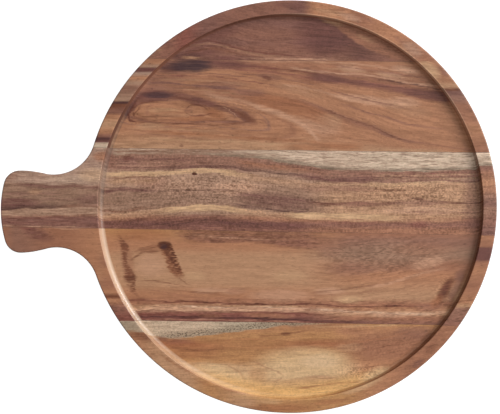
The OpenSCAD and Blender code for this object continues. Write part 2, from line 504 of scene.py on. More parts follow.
        # the lip of the recess is rubbed a little lighter and smoother in places
        worn = self.span(self.r, WALL + 0.4, WALL + LIP + 0.3, 0.4, 0.8) * self.step(self.z, T - 0.6, T - 0.1)
        worn = worn * self.step(self.noise(self.x / 14.0, self.y / 14.0, self.seed, detail=2.0), -0.2, 0.5)
        col = self.shade(col, 1.0 + worn * 0.10)
        # the wall gets painted shade, as much as each stave gives, and the outer edge is darker and rougher: darker
        # partly as end grain, most where it cuts across the grain, and partly by painted shade
        ends = self.x / self.r
        ends = ends * ends
        inner = self.step(self.z, FLOOR - 1.0, FLOOR - 0.3) * (1.0 - self.step(self.z, T - 0.5, T))
        wall = self.span(self.r, WALL - 1.2, WALL + 0.6, 0.9, 0.6) * inner
        edge = self.span(self.z, 0.4, T - 0.4, 0.3, 0.3) * self.step(self.r, WALL + 3.0, WALL + 4.0)
        col = self.mix(wall * wall_painted_shade, col, UMBER)
        # the cove, which gets a painted highlight at the near left and painted shade at the far left
        cove = self.span(self.r, WALL - 3.6, WALL + 0.4, 1.2, 0.5) * inner
        # at the far left the cove gets painted shade, and on the shadowed far right the wall and its lip get painted
        # light, lighter and mixed towards pale
        far_left_painted_shade = self.step((self.y * 0.292 - self.x * 0.956) / self.r, 0.93, 0.98) * cove
        shadow_side_painted_light = self.step((self.x * 0.57 + self.y * 0.82) / self.r, 0.72, 0.92) * self.step(self.z, FLOOR + 0.2, FLOOR + 1.2)
        high = shadow_side_painted_light * self.span(self.r, WALL - 0.3, WALL + LIP, 0.5, 0.3)
        col = self.mix(high * 0.25, col, PALE)
        col = self.shade(col, (1.0 - far_left_painted_shade * 0.38) + (shadow_side_painted_light * self.span(self.r, WALL - 5.0, WALL + 0.2, 1.0, 0.4) * 0.4 + high * 0.4))
        # painted highlight: at the near left the cove is mixed towards pale
        if wall_painted_highlight:
            facing = (self.x * -0.82 - self.y * 0.57) / self.r
            col = self.mix(cove * self.step(facing, 0.6, 0.92) * wall_painted_highlight, col, PALE)
        # the outer edge is darker: more where it cuts across the grain, as end grain, and all round by painted shade
        col = self.shade(col, 1.0 - edge * (ends * 0.25 + 0.15))
        b = self.node("ShaderNodeBsdfPrincipled")
        self.put(col, b.inputs["Base Color"])
        soft = self.noise(self.x / 22.0, self.layer / 7.0, self.seed + 2.0, detail=3.0)
        self.put((rough + soft * 0.06) + (pore * 0.2 + fibre * 0.04) + (edge * 0.2 - worn * 0.05) + wall * wall_rough + cove * (cove_dull - 0.2), b.inputs["Roughness"])
        b.inputs["IOR"].default_value = 1.46
        bump = self.node("ShaderNodeBump")
        bump.inputs["Strength"].default_value = 0.35
        bump.inputs["Distance"].default_value = 0.00012
        self.put(fibre * 0.4 - pore + soft * 0.5, bump.inputs["Height"])
        self.nt.links.new(bump.outputs[0], b.inputs["Normal"])
        out = self.node("ShaderNodeOutputMaterial")
        self.nt.links.new(b.outputs[0], out.inputs[0])
        return self.mat


def stave_1():
    """Muted brown with one arched line and a dark wedge on the right."""
    t = Wood("wood_stave_1", 0.3, 1.0, [(130, 6), (165, 2), (205, -5), (225, -4), (260, 3), (300, 6), (340, 9), (420, 18)])
    left = t.ramp(t.f, 0, 64, [(14, MAUVE), (24, MAUVE), (34, EARTH), (42, MAUVE), (48, EARTH), (60, BROWN)])
    col = t.mix(t.step(t.u, 330.0, 365.0), left, EARTH)
    col = t.patch(col, 268, 38, 40, 18, EARTH, 0.8, turn=10)
    col = t.patch(col, 215, 33, 28, 9, PLUM, 0.8, turn=-8)
    col = t.patch(col, 190, 51, 28, 7, MAUVE, 0.8, rim=0)
    col = t.patch(col, 172, 56, 16, 7, PLUM, 0.7, rim=0)
    col = t.patch(col, 202, 52, 26, 6, PLUM, 0.75, rim=0)
    col = t.patch(col, 190, 56, 24, 6, SOOT, 0.7, rim=0)
    col = t.patch(col, 238, 58, 32, 5, PLUM, 0.75, rim=0)
    col, _ = t.band(col, None, [(180, 40), (215, 24), (240, 20), (300, 19), (330, 22)], (1, 4), UMBER, 0.5, (180, 200, 310, 340), 0)
    # dark wedge, soft at its left end
    col = t.patch(col, 326, 33, 40, 30, PLUM, 0.95, rim=0, broken=0.2)
    col = t.patch(col, 328, 42, 26, 16, SOOT, 0.4, rim=0, broken=0.3)
    edge = [(318, 16), (335, 25), (350, 37), (365, 46.5), (385, 55), (408, 61.5)]
    col, _ = t.band(col, None, edge, (1, 4), CLAY, 0.8, (328, 350), 0, 0.3)
    col = t.patch(col, 366, 38, 13, 3, TAN, 0.6, turn=24, rim=0)
    col = t.patch(col, 345, 29, 9, 3, CLAY, 0.7, turn=24, rim=0)
    col, _ = t.band(col, edge, [(330, 56), (370, 59.5), (408, 62)], (2.5, 2), SOOT, 0.7, (335, 362, 352, 400), 0, 0.15)
    # painted light: a lighter patch by the far wall, against the wall's shade there
    col = t.patch(col, 332, 20, 16, 5, TAN, 0.9, turn=18, rim=0, broken=0.2)
    # the arch and the lines beside it
    arch = [(172, 52), (186, 46), (201, 41), (213, 41), (224, 43), (235, 46.5), (250, 50), (270, 52.8), (295, 55), (330, 58)]
    col = t.line(col, arch, 1.3, 1.0, WINE, 0.75, (172, 186, 285, 325), 0, 0.25)
    col = t.line(col, moved(arch, 2.2), 0.8, 1.6, TAN, 0.4, (188, 204, 262, 300), 0, 0.4)
    col = t.line(col, [(178, 55), (195, 49.5), (213, 47.5), (230, 51), (248, 54.5), (270, 56.5)], 0.8, 1.2, UMBER, 0.65, (180, 192, 250, 275), 0)
    col = t.line(col, [(180, 52), (200, 45.5), (214, 45), (228, 48.5)], 0.6, 1.0, PLUM, 0.6, (182, 190, 218, 232), 0)
    col = t.patch(col, 191, 56.8, 12, 1.6, TAN, 0.75, rim=0)
    col = t.line(col, [(215, 58), (300, 58.3), (345, 60)], 0.9, 1.0, BLUSH, 0.7, (235, 265, 315, 345), 0, 0.3)
    col = t.patch(col, 218, 58, 20, 4, PLUM, 0.85, rim=0)
    # rim
    rim = t.ramp(t.u, 100, 460, [(145, BROWN), (168, EARTH), (185, ROSE), (205, MAUVE), (240, EARTH), (280, EARTH), (300, MAUVE), (316, WARM), (345, WARM), (360, CLAY), (385, WARM), (430, CLAY)])
    col = t.mix(t.rim, col, rim)
    col = t.patch(col, 167, 46, 8, 2.2, PLUM, 0.7, rim=1)
    col = t.patch(col, 156, 52, 9, 1.6, TAN, 0.6, rim=1)
    col = t.patch(col, 292, 8, 24, 3, PLUM, 0.7, rim=1, turn=4)
    col = t.patch(col, 330, 14, 22, 4, TAN, 0.8, turn=10, rim=1)
    col = t.patch(col, 366, 21, 14, 2.4, EARTH, 0.5, turn=22, rim=1)
    col = t.patch(col, 400, 43, 12, 2.4, EARTH, 0.5, turn=34, rim=1)
    col = t.patch(col, 412, 51, 15, 8, HIDE, 0.6, turn=34, rim=1)
    col = t.patch(col, 350, 19, 15, 5, HIDE, 0.5, turn=20, rim=1)
    # the wall gets painted shade all along this stave
    return t.finish(t.grain(col, 0.12, 0.20, 0.08), (0.97, 0.95, 0.95), 0.5, 0.25, cove_dull=0.2)


def stave_2():
    """Reddish tan with a nest of ovals at the left and lines that sweep down to the right."""
    t = Wood("wood_stave_2", [(80, 0.75), (200, 0.6), (420, 0.1)], 7.0)
    top = [(80, 58), (150, 60), (200, 60.5), (240, 62), (275, 64.5), (307, 68.5), (334, 72.5), (366, 76.5), (393, 81), (419, 85), (445, 90), (470, 95)]
    mid = [(100, 84), (200, 86.5), (226, 88), (239, 91), (260, 93.5), (280, 96), (305, 101), (324, 108.5), (342, 115), (355, 120), (374, 126.5), (392, 135), (411, 140.5), (440, 145), (475, 150)]
    c, b = t.curve(t.u, top), t.curve(t.u, mid)
    low = t.math("MAXIMUM", (t.f - b) / t.math("MAXIMUM", 150.5 - b, 6.0), 0.0)
    q = t.math("MINIMUM", (t.f - c) / (b - c), 1.0) + low
    # the nest of ovals: even steps outwards from its middle
    gu = t.curve(t.u, [(100, 1.7), (118, 1.2), (127, 1.0), (133, 0.84), (142, 0.6), (160, 0.2), (186, 0.0), (211, 0.46), (247, 1.02), (269, 1.42), (297, 1.88), (330, 2.5), (370, 3.4)], base=-2.0, top=6.0)
    axis = t.curve(t.u, [(120, 113), (186, 111.5), (211, 111.5), (229, 115), (247, 119.5), (269, 127), (297, 133), (340, 139)])
    gv = t.curve(t.f - axis, [(-60, 4.6), (-20, 1.9), (-12.5, 1.2), (-9, 0.5), (0, 0), (4, 0.46), (11, 1.05), (15.5, 1.46), (21, 1.96), (60, 5.4)], lo=-80.0, hi=80.0, base=-2.0, top=8.0)
    nest = t.math("SQRT", gu * gu + gv * gv)
    inside = 1.0 - t.step(nest, 1.75, 2.05)
    t.layer = q * 34.0
    col = t.ramp(q, -1, 3, [(-0.5, WARM), (0.0, CLAY), (0.3, WARM), (0.6, WARM), (0.95, WARM), (1.05, CLAY), (1.3, WARM), (1.6, WARM), (2.0, TAN)])
    col = t.patch(col, 165, 76, 40, 9, EARTH, 0.7, rim=0)
    col = t.patch(col, 220, 84, 36, 6, EARTH, 0.75, rim=0)
    col = t.patch(col, 250, 92, 20, 5, EARTH, 0.7, rim=0)
    col = t.patch(col, 370, 100, 48, 6, BLUSH, 0.75, turn=8, rim=0, broken=0.2)
    col = t.patch(col, 330, 120, 16, 10, TAN, 0.9, rim=0, broken=0.2)
    col = t.patch(col, 392, 75, 20, 4, BLUSH, 0.8, turn=10, rim=0, broken=0.2)
    col = t.patch(col, 352, 68, 18, 5, BLUSH, 0.8, turn=10, rim=0, broken=0.2)
    col = t.patch(col, 406, 69, 18, 5, BLUSH, 0.8, turn=12, rim=0, broken=0.2)
    col = t.patch(col, 406, 101, 20, 6, BLUSH, 0.7, turn=8, rim=0, broken=0.2)
    col = t.patch(col, 320, 125, 28, 13, BLUSH, 0.6, turn=10, rim=0, broken=0.2)
    # under the first joint: light at the right, black-purple at the left
    col = t.line(col, [(200, 60), (300, 61), (345, 62), (375, 65.5), (400, 70)], 1.2, 1.4, BLUSH, 0.55, (228, 250, 385, 405), 0)
    col = t.line(col, [(285, 65), (305, 69), (330, 71.5), (374, 75.5), (405, 81.5), (440, 85)], 1.2, 1.6, BLUSH, 0.8, (284, 300, 425, 448), 0, 0.35)
    col = t.line(col, [(320, 66), (360, 71), (395, 76), (425, 80)], 1.0, 1.0, TAN, 0.8, (318, 335, 412, 430), 0)
    col = t.line(col, [(330, 63.5), (395, 72.5), (425, 77)], 0.9, 1.0, EARTH, 0.9, (325, 345, 418, 430), 0)
    col = t.line(col, [(300, 66.5), (340, 73.5), (380, 78.5)], 0.6, 0.9, EARTH, 0.9, (298, 312, 365, 390), 0)
    col, _ = t.band(col, [(250, 70), (280, 72), (305, 74.5), (330, 77), (360, 79.5), (390, 83.5), (415, 87.5), (450, 92)], [(260, 73), (280, 75), (301, 79.5), (327, 83), (353, 85.5), (377, 88), (399, 92), (425, 99), (450, 103)],
                    (3, 5), ROSE, 0.75, (265, 310), 0, 0.4)
    col, _ = t.band(col, [(300, 77), (330, 78.5), (360, 80.5), (390, 85), (415, 88.5), (450, 93)], [(300, 79), (330, 82), (360, 84.5), (390, 89), (415, 96), (450, 101)], (1.5, 3), PLUM, 0.8, (305, 335), 0, 0.5)
    col = t.patch(col, 430, 93.5, 24, 5.5, SOOT, 0.35, turn=14, rim=0)
    col = t.patch(col, 270, 76, 18, 4.5, EARTH, 0.75, turn=6, rim=0)
    col = t.line(col, [(205, 61), (240, 64), (275, 67.5), (307, 71.5), (330, 75)], 1.2, 1.8, WINE, 0.85, (205, 222, 310, 335), 0, 0.3)
    col = t.line(col, [(215, 66), (250, 69.5), (285, 73), (310, 77)], 0.8, 1.2, ROSE, 0.9, (215, 232, 290, 315), 0)
    col = t.line(col, [(230, 72), (270, 76), (300, 81), (325, 86)], 0.8, 1.2, EARTH, 0.8, (228, 245, 305, 328), 0)
    col = t.line(col, [(355, 75), (387, 80.5), (406, 83), (423, 85), (442, 89), (470, 94)], 0.6, 1.3, SOOT, 0.75, (365, 392), None, 0.3)
    col = t.patch(col, 255, 68, 40, 7, ROSE, 0.5, turn=6, rim=0)
    col = t.patch(col, 166, 66, 26, 7, PLUM, 0.85, rim=0)
    col = t.patch(col, 218, 64, 32, 6, PLUM, 0.85, turn=5, rim=0)
    col = t.patch(col, 232, 63, 34, 5, PLUM, 0.8, turn=4, rim=0)
    col = t.patch(col, 327, 77, 25, 5.5, PLUM, 0.9, turn=6, rim=0, broken=0.2)
    col = t.patch(col, 170, 68, 18, 6, SOOT, 0.8, rim=0)
    col = t.patch(col, 190, 63.5, 27, 11, NIGHT, 0.95, rim=0, broken=0.3)
    col = t.patch(col, 190, 67, 28, 5, NIGHT, 0.7, rim=0, broken=0.3)
    # left, above the ovals
    col = t.patch(col, 150, 82, 22, 12, EARTH, 0.7, rim=0)
    col = t.line(col, [(140, 71.5), (160, 71), (200, 72.5), (230, 74.5), (268, 80), (300, 84)], 0.7, 1.1, EARTH, 0.85, (142, 165, 240, 290), 0)
    col = t.patch(col, 215, 78, 36, 5, CLAY, 0.5, rim=0)
    col = t.patch(col, 180, 79.5, 16, 2.2, EARTH, 0.6, rim=0, broken=0.9)
    col = t.patch(col, 267, 77.3, 7, 2.6, WINE, 0.95, turn=12, broken=0.5)
    col = t.line(col, [(255, 81), (290, 88), (310, 93)], 0.8, 1.0, EARTH, 0.6, (250, 262, 300, 315), 0)
    col = t.line(col, [(143, 82), (165, 82), (190, 84.5), (215, 86.5), (245, 90)], 1.2, 1.8, MAUVE, 0.95, (142, 152, 228, 250), 0, 0.25)
    col = t.line(col, [(150, 79), (180, 78.5), (220, 81), (255, 85)], 0.8, 1.2, TAN, 0.7, (152, 165, 235, 256), 0, 0.4)
    col = t.line(col, [(146, 87), (180, 88.5), (215, 90.5), (245, 94)], 0.8, 1.2, TAN, 0.7, (148, 158, 230, 248), 0, 0.4)
    col = t.line(col, [(165, 75.5), (200, 75.2), (240, 79), (280, 85)], 0.6, 0.9, ROSE, 0.8, (164, 175, 255, 282), 0, 0.4)
    col = t.patch(col, 219, 86.8, 14, 2.6, MAUVE, 0.9, rim=0)
    col = t.patch(col, 168, 87, 26, 5, EARTH, 0.7, rim=0)
    col = t.patch(col, 300, 90, 34, 6, TAN, 0.45, turn=14, rim=0)
    col, _ = t.band(col, mid, [(240, 97), (275, 109), (300, 116), (330, 128)], (3, 5), RUST, 0.8, (232, 262, 310, 350), 0)
    col = t.patch(col, 250, 92, 20, 4.5, EARTH, 0.7, rim=0, turn=8)
    col = t.line(col, [(165, 88), (200, 92), (218, 96.5), (235, 101), (258, 107.5), (275, 112), (290, 118), (303, 124), (312, 132), (318, 140)], 3.6, 4.0, BLUSH, 0.8, (195, 220, 316, 324), 0, 0.3)
    # the ovals
    rings = t.ramp(nest, 0, 3, [(0.0, WARM), (0.4, WARM), (0.48, CLAY), (0.56, WARM), (0.78, WARM), (0.83, CLAY), (0.87, WARM), (0.94, CLAY), (0.99, EARTH), (1.04, EARTH), (1.1, CLAY), (1.26, WARM), (1.36, WARM),
                                (1.42, BROWN), (1.47, WARM), (1.7, WARM), (1.84, CLAY), (1.9, WARM), (2.0, WARM)])
    col = t.mix(inside * t.step(t.f, 97.0, 102.0) * (1.0 - t.rim) * 0.85, col, rings)
    over = [(122, 122), (126, 113), (130, 104.5), (137, 98), (148, 94.5), (160, 94), (172, 95.5), (188, 99), (204, 102), (219, 105.5), (235, 111), (248, 117.5), (258, 122)]
    col, _ = t.band(col, [(122, 116), (126, 107), (130, 99.5), (137, 93.5), (148, 90), (160, 89.5), (175, 91), (190, 94.5), (205, 99), (219, 103.5), (235, 109), (248, 116), (258, 121)],
                    [(122, 126), (126, 118), (131, 111.5), (138, 105.5), (148, 102), (160, 100.5), (175, 99.5), (190, 102.5), (205, 106), (219, 109), (232, 114), (245, 120.5), (258, 123)], (4, 2.5), PLUM, 0.75, (121, 127, 240, 262), 0, 0.25)
    col = t.line(col, over, 1.2, 1.6, WINE, 0.75, (124, 132, 240, 258), 0, 0.4)
    col = t.patch(col, 150, 94.5, 23, 9, PLUM, 0.85, rim=0, broken=0.3)
    col = t.patch(col, 158, 94, 20, 5, NIGHT, 0.8, rim=0, broken=0.3)
    col = t.patch(col, 204, 101, 18, 3.6, PLUM, 0.7, turn=12, rim=0)
    col = t.patch(col, 131.5, 107.5, 12, 1.6, WINE, 0.85, turn=-58, rim=0, broken=0.2)
    col = t.patch(col, 136, 110.5, 9, 1.2, UMBER, 0.75, turn=-52, rim=0, broken=0.2)
    col = t.patch(col, 246, 116.5, 15, 4.0, UMBER, 0.9, turn=28, rim=0, broken=0.2)
    under = [(124, 113), (128, 119.6), (134, 121.4), (150, 122.2), (180, 122.8), (205, 124), (225, 124), (242, 121.8), (252, 119)]
    col = t.line(col, under, 0.9, 1.0, UMBER, 0.85, (124, 130, 246, 254), 0, 0.3)
    col = t.line(col, [(128, 111), (131, 117), (138, 118.8), (165, 119.4), (200, 120.4), (214, 120.4), (227, 118), (236, 113.5)], 0.7, 0.8, UMBER, 0.65, (128, 132, 226, 236), 0, 0.4)
    col = t.line(col, [(128, 113), (134, 106.5), (142, 102.5), (160, 101.5)], 0.9, 1.0, UMBER, 0.8, (128, 132, 150, 170), 0, 0.35)
    col = t.line(col, [(130, 112), (135, 116.5), (142, 118)], 0.8, 0.9, WINE, 0.7, (130, 133, 140, 150), 0, 0.35)
    col = t.line(col, [(184, 109), (190, 105), (200, 104.2), (207, 106), (212, 111)], 0.8, 0.8, UMBER, 0.8, (184, 187, 208, 212), 0, 0.3)
    col = t.line(col, [(184, 111), (190, 115), (200, 116.2), (207, 114.6), (212, 111)], 0.8, 0.8, UMBER, 0.8, (184, 187, 208, 212), 0, 0.3)
    col = t.line(col, [(135, 112), (139, 108), (146, 106.5), (153, 108)], 0.8, 0.8, UMBER, 0.45, (135, 137, 148, 154), 0, 0.3)
    col = t.line(col, [(135, 112), (140, 115.6), (150, 116.4), (170, 116.4), (190, 117)], 0.9, 1.0, UMBER, 0.75, (135, 137, 178, 194), 0, 0.4)
    col = t.patch(col, 188, 109, 6, 5, EARTH, 0.6, rim=0, broken=0.8)
    col = t.patch(col, 215, 113, 15, 7, RUST, 0.8, turn=20, rim=0, broken=0.2)
    col = t.patch(col, 192, 118.5, 26, 3.5, RUST, 0.7, turn=2, rim=0, broken=0.3)
    col = t.line(col, [(188, 103), (196, 103.8), (203, 106), (209, 109.5)], 0.9, 1.1, WINE, 0.8, (187, 191, 204, 210), 0, 0.2)
    col = t.line(col, [(187, 114.5), (193, 115.6), (203, 115), (212, 112.6)], 0.8, 0.9, WINE, 0.75, (188, 191, 208, 214), 0, 0.2)
    col = t.patch(col, 128, 116, 7, 1.6, WINE, 0.85, turn=75, rim=0, broken=0.1)
    col = t.patch(col, 132, 121, 6, 1.4, WINE, 0.85, turn=25, rim=0, broken=0.1)
    col = t.patch(col, 132, 105, 9, 2.2, WINE, 0.7, turn=-52, rim=0, broken=0.1)
    col = t.patch(col, 133, 114, 5, 1.2, UMBER, 0.8, turn=78, rim=0, broken=0.1)
    col = t.patch(col, 150, 125.5, 18, 4, TAN, 0.9, rim=0, broken=0.3)
    col = t.patch(col, 352, 148, 15, 3.5, RUST, 0.6, rim=0, broken=0.3)
    col = t.patch(col, 230, 84, 13, 3.5, EARTH, 0.5, turn=8, rim=0)
    col = t.patch(col, 312, 146.5, 44, 4, RUST, 0.7, turn=1, rim=0, broken=0.3)
    col = t.line(col, [(221, 106), (229, 109.5), (235, 114), (238, 119)], 0.6, 0.6, BLUSH, 0.7, (221, 224, 235, 239), 0, 0.4)
    col = t.patch(col, 163, 109.5, 22, 2.6, SAND, 0.5, rim=0)
    col = t.patch(col, 176, 115, 26, 3, TAN, 0.35, rim=0)
    col = t.line(col, [(255, 119), (266, 122), (271, 127), (274, 134)], 0.9, 0.9, EARTH, 0.8, (254, 258, 270, 274), 0)
    # below the ovals
    col = t.line(col, [(130, 130), (192, 133.5), (232, 137), (290, 140), (340, 144)], 1.8, 2.2, RUST, 0.8, (140, 175, 310, 345), 0)
    col = t.line(col, [(120, 128), (170, 129), (230, 131)], 1.2, 1.4, TAN, 0.8, (122, 135, 200, 240), 0)
    col = t.line(col, [(130, 133), (170, 135), (210, 139)], 0.8, 1.0, EARTH, 0.6, (130, 140, 180, 212), 0)
    col = t.line(col, [(140, 138), (220, 141), (290, 145)], 1.4, 1.6, SAND, 0.5, (135, 160, 270, 300), 0)
    col = t.patch(col, 181, 145, 3, 1.6, WINE, 0.7, rim=0)
    col = t.patch(col, 342, 145, 28, 4, RUST, 0.8, rim=0)
    # lines that sweep down to the right
    col = t.line(col, mid, 2.4, 3.0, EARTH, 0.75, (285, 322, 400, 440), 0, 0.4)
    col = t.line(col, mid, 0.6, 1.2, UMBER, 0.8, (318, 335, 395, 420), 0, 0.5)
    col = t.patch(col, 384, 134, 7, 2, EARTH, 0.8, turn=20, rim=0)
    col = t.line(col, [(287, 84.5), (309, 86.5), (334, 90.5), (355, 96), (380, 102), (400, 106), (430, 112)], 0.8, 1.4, EARTH, 0.9, (325, 340, 400, 440), 0, 0.4)
    col = t.line(col, [(280, 84), (300, 86), (318, 90), (340, 96), (355, 101)], 1.4, 1.4, BLUSH, 0.6, (278, 288, 340, 358), 0)
    col = t.line(col, [(331, 99.5), (349, 105.5), (367, 111.5), (386, 116.5), (405, 122.5), (424, 126), (458, 129)], 1.1, 1.6, EARTH, 0.85, (335, 352, 420, 460), 0, 0.4)
    col = t.patch(col, 410, 110, 30, 8, TAN, 0.4, turn=10, rim=0)
    # the rim at either end
    rim_l = t.ramp(t.v, 50, 155, [(58, CLAY), (62, WARM), (66.5, FAWN), (68.5, PLUM), (71, PLUM), (73, HIDE), (78, WARM), (83, FAWN), (87, BROWN), (100, FAWN), (102.5, SOOT), (105, UMBER), (112, EARTH), (116, WARM), (124, TAN),
                                  (132, WARM), (136, EARTH), (138.5, SOOT), (141.5, PLUM), (143.5, PALE), (150, GREY)])
    rim_r = t.ramp(t.v, 50, 155, [(60, WARM), (70, CLAY), (80, WARM), (86, TAN), (90, UMBER), (92, MAUVE), (100, BROWN), (106, CLAY), (118, CLAY), (128, WARM), (150, CLAY)])
    col = t.mix(t.rim, col, t.mix(t.step(t.u, 250.0, 300.0), rim_l, rim_r))
    col = t.patch(col, 430, 71, 16, 9, SAND, 0.8, turn=40, rim=1, broken=0.2)
    col = t.patch(col, 445, 74, 5, 3, EARTH, 0.7, turn=20, rim=1)
    # the wall gets painted shade, most at the left, where a glint would show
    return t.finish(t.grain(col, 0.10, 0.17, 0.05), (0.92, 0.92, 0.94), 0.95 - t.step(t.u, 150.0, 250.0) * 0.6, 0.25, cove_dull=0.2)


def stave_3():
    """Strongly striped, with pale sapwood along its far edge."""
    t = Wood("wood_stave_3", 0.58, 13.0, [(0, 0), (105, 3), (160, -1), (202, -5), (250, -1), (290, 5), (330, 8), (400, 9), (480, 8)], 1.2)
    col = t.ramp(t.f, 140, 236, [(147, OLIVE), (157, BROWN), (166, BROWN), (174, FAWN), (184, FAWN), (189, OLIVE), (193, OLIVE), (204, OLIVE), (212, FAWN), (219, CLAY), (225, EARTH), (231, CLAY)])
    col = t.mix(t.step(t.u, 300.0, 345.0) * t.span(t.f, 184.0, 216.0, 3.0, 3.0) * 0.85, col, TAN)
    col = t.patch(col, 238, 188, 34, 8, BLUSH, 0.8, rim=0, broken=0.2)
    col = t.patch(col, 180, 186, 44, 10, BLUSH, 0.3, rim=0, broken=0.2)
    col = t.patch(col, 150, 182, 24, 10, BROWN, 0.8, rim=0)
    col = t.patch(col, 128, 163, 18, 6, MAUVE, 0.8, rim=0)
    # sapwood
    edge = [(100, 154.5), (160, 154.5), (200, 154.5), (226, 155), (252, 157.5), (278, 161), (300, 164), (326, 168), (347, 170), (367, 171), (401, 171), (436, 170), (456, 169.5), (477, 169)]
    sap = t.ramp(t.u, 80, 500, [(100, GREY), (120, OLIVE), (200, OLIVE), (240, OLIVE), (265, STRAW), (290, PALE), (310, PALE), (350, PALE), (380, LINEN), (440, LINEN), (475, CREAM)])
    col, m = t.band(col, None, edge, (1, 2.0), sap, 0.95, (95, 110), None, 0.0)
    pale = t.step(t.noise(t.plain / 6.0, t.flat / 1.1, 33.0, detail=2.0), 0.05, 0.35)
    col = t.mix(pale * m * (1.0 - t.step(t.u, 270.0, 330.0)) * 0.35, col, PALE)
    shade = t.step(t.noise(t.plain / 22.0, t.flat / 1.5, 31.0, detail=3.0), -0.1, 0.35)
    col = t.mix(shade * m * t.step(t.u, 200.0, 280.0) * 0.4, col, OLIVE)
    dark = t.step(t.noise(t.plain / 10.0, t.flat / 0.75, 35.0, detail=2.0), 0.08, 0.30)
    col = t.mix(dark * m * t.step(t.u, 200.0, 280.0) * 0.75, col, UMBER)
    col = t.line(col, edge, 3.4, 1.2, ASH, 0.8, (185, 215), None, 0.5)
    col = t.line(col, moved(edge, -0.5), 1.2, 0.8, MOSS, 0.6, (205, 240), None, 0.8)
    col = t.line(col, [(105, 149), (165, 149.5)], 0.8, 0.9, PALE, 0.6, (108, 116, 150, 172), 0, 0.3)
    col = t.line(col, [(105, 152.8), (160, 153.2)], 0.8, 0.9, PALE, 0.45, (108, 116, 140, 165), 0, 0.4)
    col = t.line(col, [(105, 151), (175, 151.3)], 0.5, 0.6, UMBER, 0.7, (112, 118, 150, 180), 0, 0.3)
    col = t.line(col, [(220, 150.8), (260, 152), (310, 153.5)], 1.6, 1.8, PALE, 0.8, (222, 240, 280, 305), 0, 0.3)
    # brown above the first light stripe
    col = t.line(col, [(105, 158), (150, 159), (205, 159)], 1.0, 1.2, PLUM, 0.8, (112, 120, 170, 215), 0, 0.6)
    col = t.line(col, [(105, 164), (150, 165), (185, 163)], 1.4, 1.4, BLUSH, 0.55, (110, 118, 140, 175), 0, 0.6)
    col = t.line(col, [(105, 161), (150, 162), (185, 161)], 0.8, 0.8, BLUSH, 0.5, (110, 118, 150, 185), 0, 0.7)
    col = t.line(col, [(105, 167.5), (140, 167.5), (175, 165.5)], 1.0, 1.2, PLUM, 0.75, (110, 120, 150, 180), 0, 0.6)
    col = t.patch(col, 126, 157.5, 5, 5, WINE, 0.8, rim=0, broken=0.7)
    col = t.line(col, [(235, 160.5), (252, 163.5), (278, 166.5), (300, 169), (322, 173)], 2.5, 4.0, RUST, 0.6, (225, 250, 315, 340))
    col, _ = t.band(col, moved(edge, 0.8), [(260, 170), (290, 175), (315, 180), (340, 183.5), (376, 182), (430, 180), (480, 178)], (1.5, 4), EARTH, 0.85, (285, 320), None, 0.4)
    first = [(95, 171), (112, 170), (147, 169.5), (173, 167.5), (200, 166), (226, 167), (252, 169.8), (270, 171.7), (290, 174), (310, 176.6), (335, 180), (376, 178.6), (420, 178)]
    col = t.line(col, first, 1.8, 1.6, SOOT, 0.8, (150, 185, 345, 400), 0, 0.5)
    col = t.line(col, first, 3.5, 3.5, PLUM, 0.8, (275, 320, 365, 420), 0, 0.5)
    for v, k in ((173.5, 0.7), (177, 0.6), (181, 0.7)):
        col = t.line(col, [(350, v), (420, v - 0.4), (490, v)], 0.9, 1.1, ROSE, k, (380, 410), None, 0.5)
        col = t.line(col, [(350, v + 1.8), (420, v + 1.4), (490, v + 1.8)], 0.9, 0.9, SAND, k * 0.8, (360, 400), None, 0.5)
    stripe = [(80, 175), (108, 174), (147, 173.5), (168, 172.5), (187, 170.8), (206, 170), (226, 171.5), (239, 173.8), (260, 177), (290, 181), (320, 184), (370, 184.5), (440, 184)]
    col = t.line(col, stripe, 2.0, 7.0, TAN, 0.7, (215, 250, 330, 385))
    col, m1 = t.band(col, moved(stripe, -1.7), moved(stripe, 2.6), (2.2, 3.5), SAND, 1.0, (85, 108, 225, 258), None, 0.15)
    col = t.line(col, stripe, 1.6, 2.0, SAND, 0.8, (310, 335, 420, 450), 0, 0.4)
    col = t.line(col, [(100, 181), (160, 181)], 3.0, 4.0, TAN, 0.8, (94, 104, 145, 170), 0)
    col = t.line(col, [(105, 177.3), (155, 177)], 0.8, 0.9, UMBER, 0.8, (106, 110, 140, 160), 0, 0.4)
    col = t.patch(col, 194, 173.5, 3.4, 1.9, BARK, 1.0, rim=0, broken=0.0, soft=0.3)
    # handle: light along its far side
    col, _ = t.band(col, None, [(0, 185), (20, 186.5), (40, 188), (54, 189), (73, 188), (96, 188.5), (112, 184)], (1, 3), HIDE, 0.9, (-30, -20, 98, 114), None, 0.3)
    col = t.patch(col, 70, 183, 32, 6, PALE, 0.3)
    col = t.patch(col, 8, 178, 14, 10, BROWN, 0.7)
    col = t.patch(col, 92, 179, 18, 9, SAND, 0.5, rim=1)
    col = t.patch(col, 101, 160, 11, 7, RUST, 0.8, rim=1)
    col = t.line(col, [(10, 178), (40, 179.5), (75, 178)], 0.8, 1.0, BROWN, 0.7, (8, 15, 60, 80), 1)
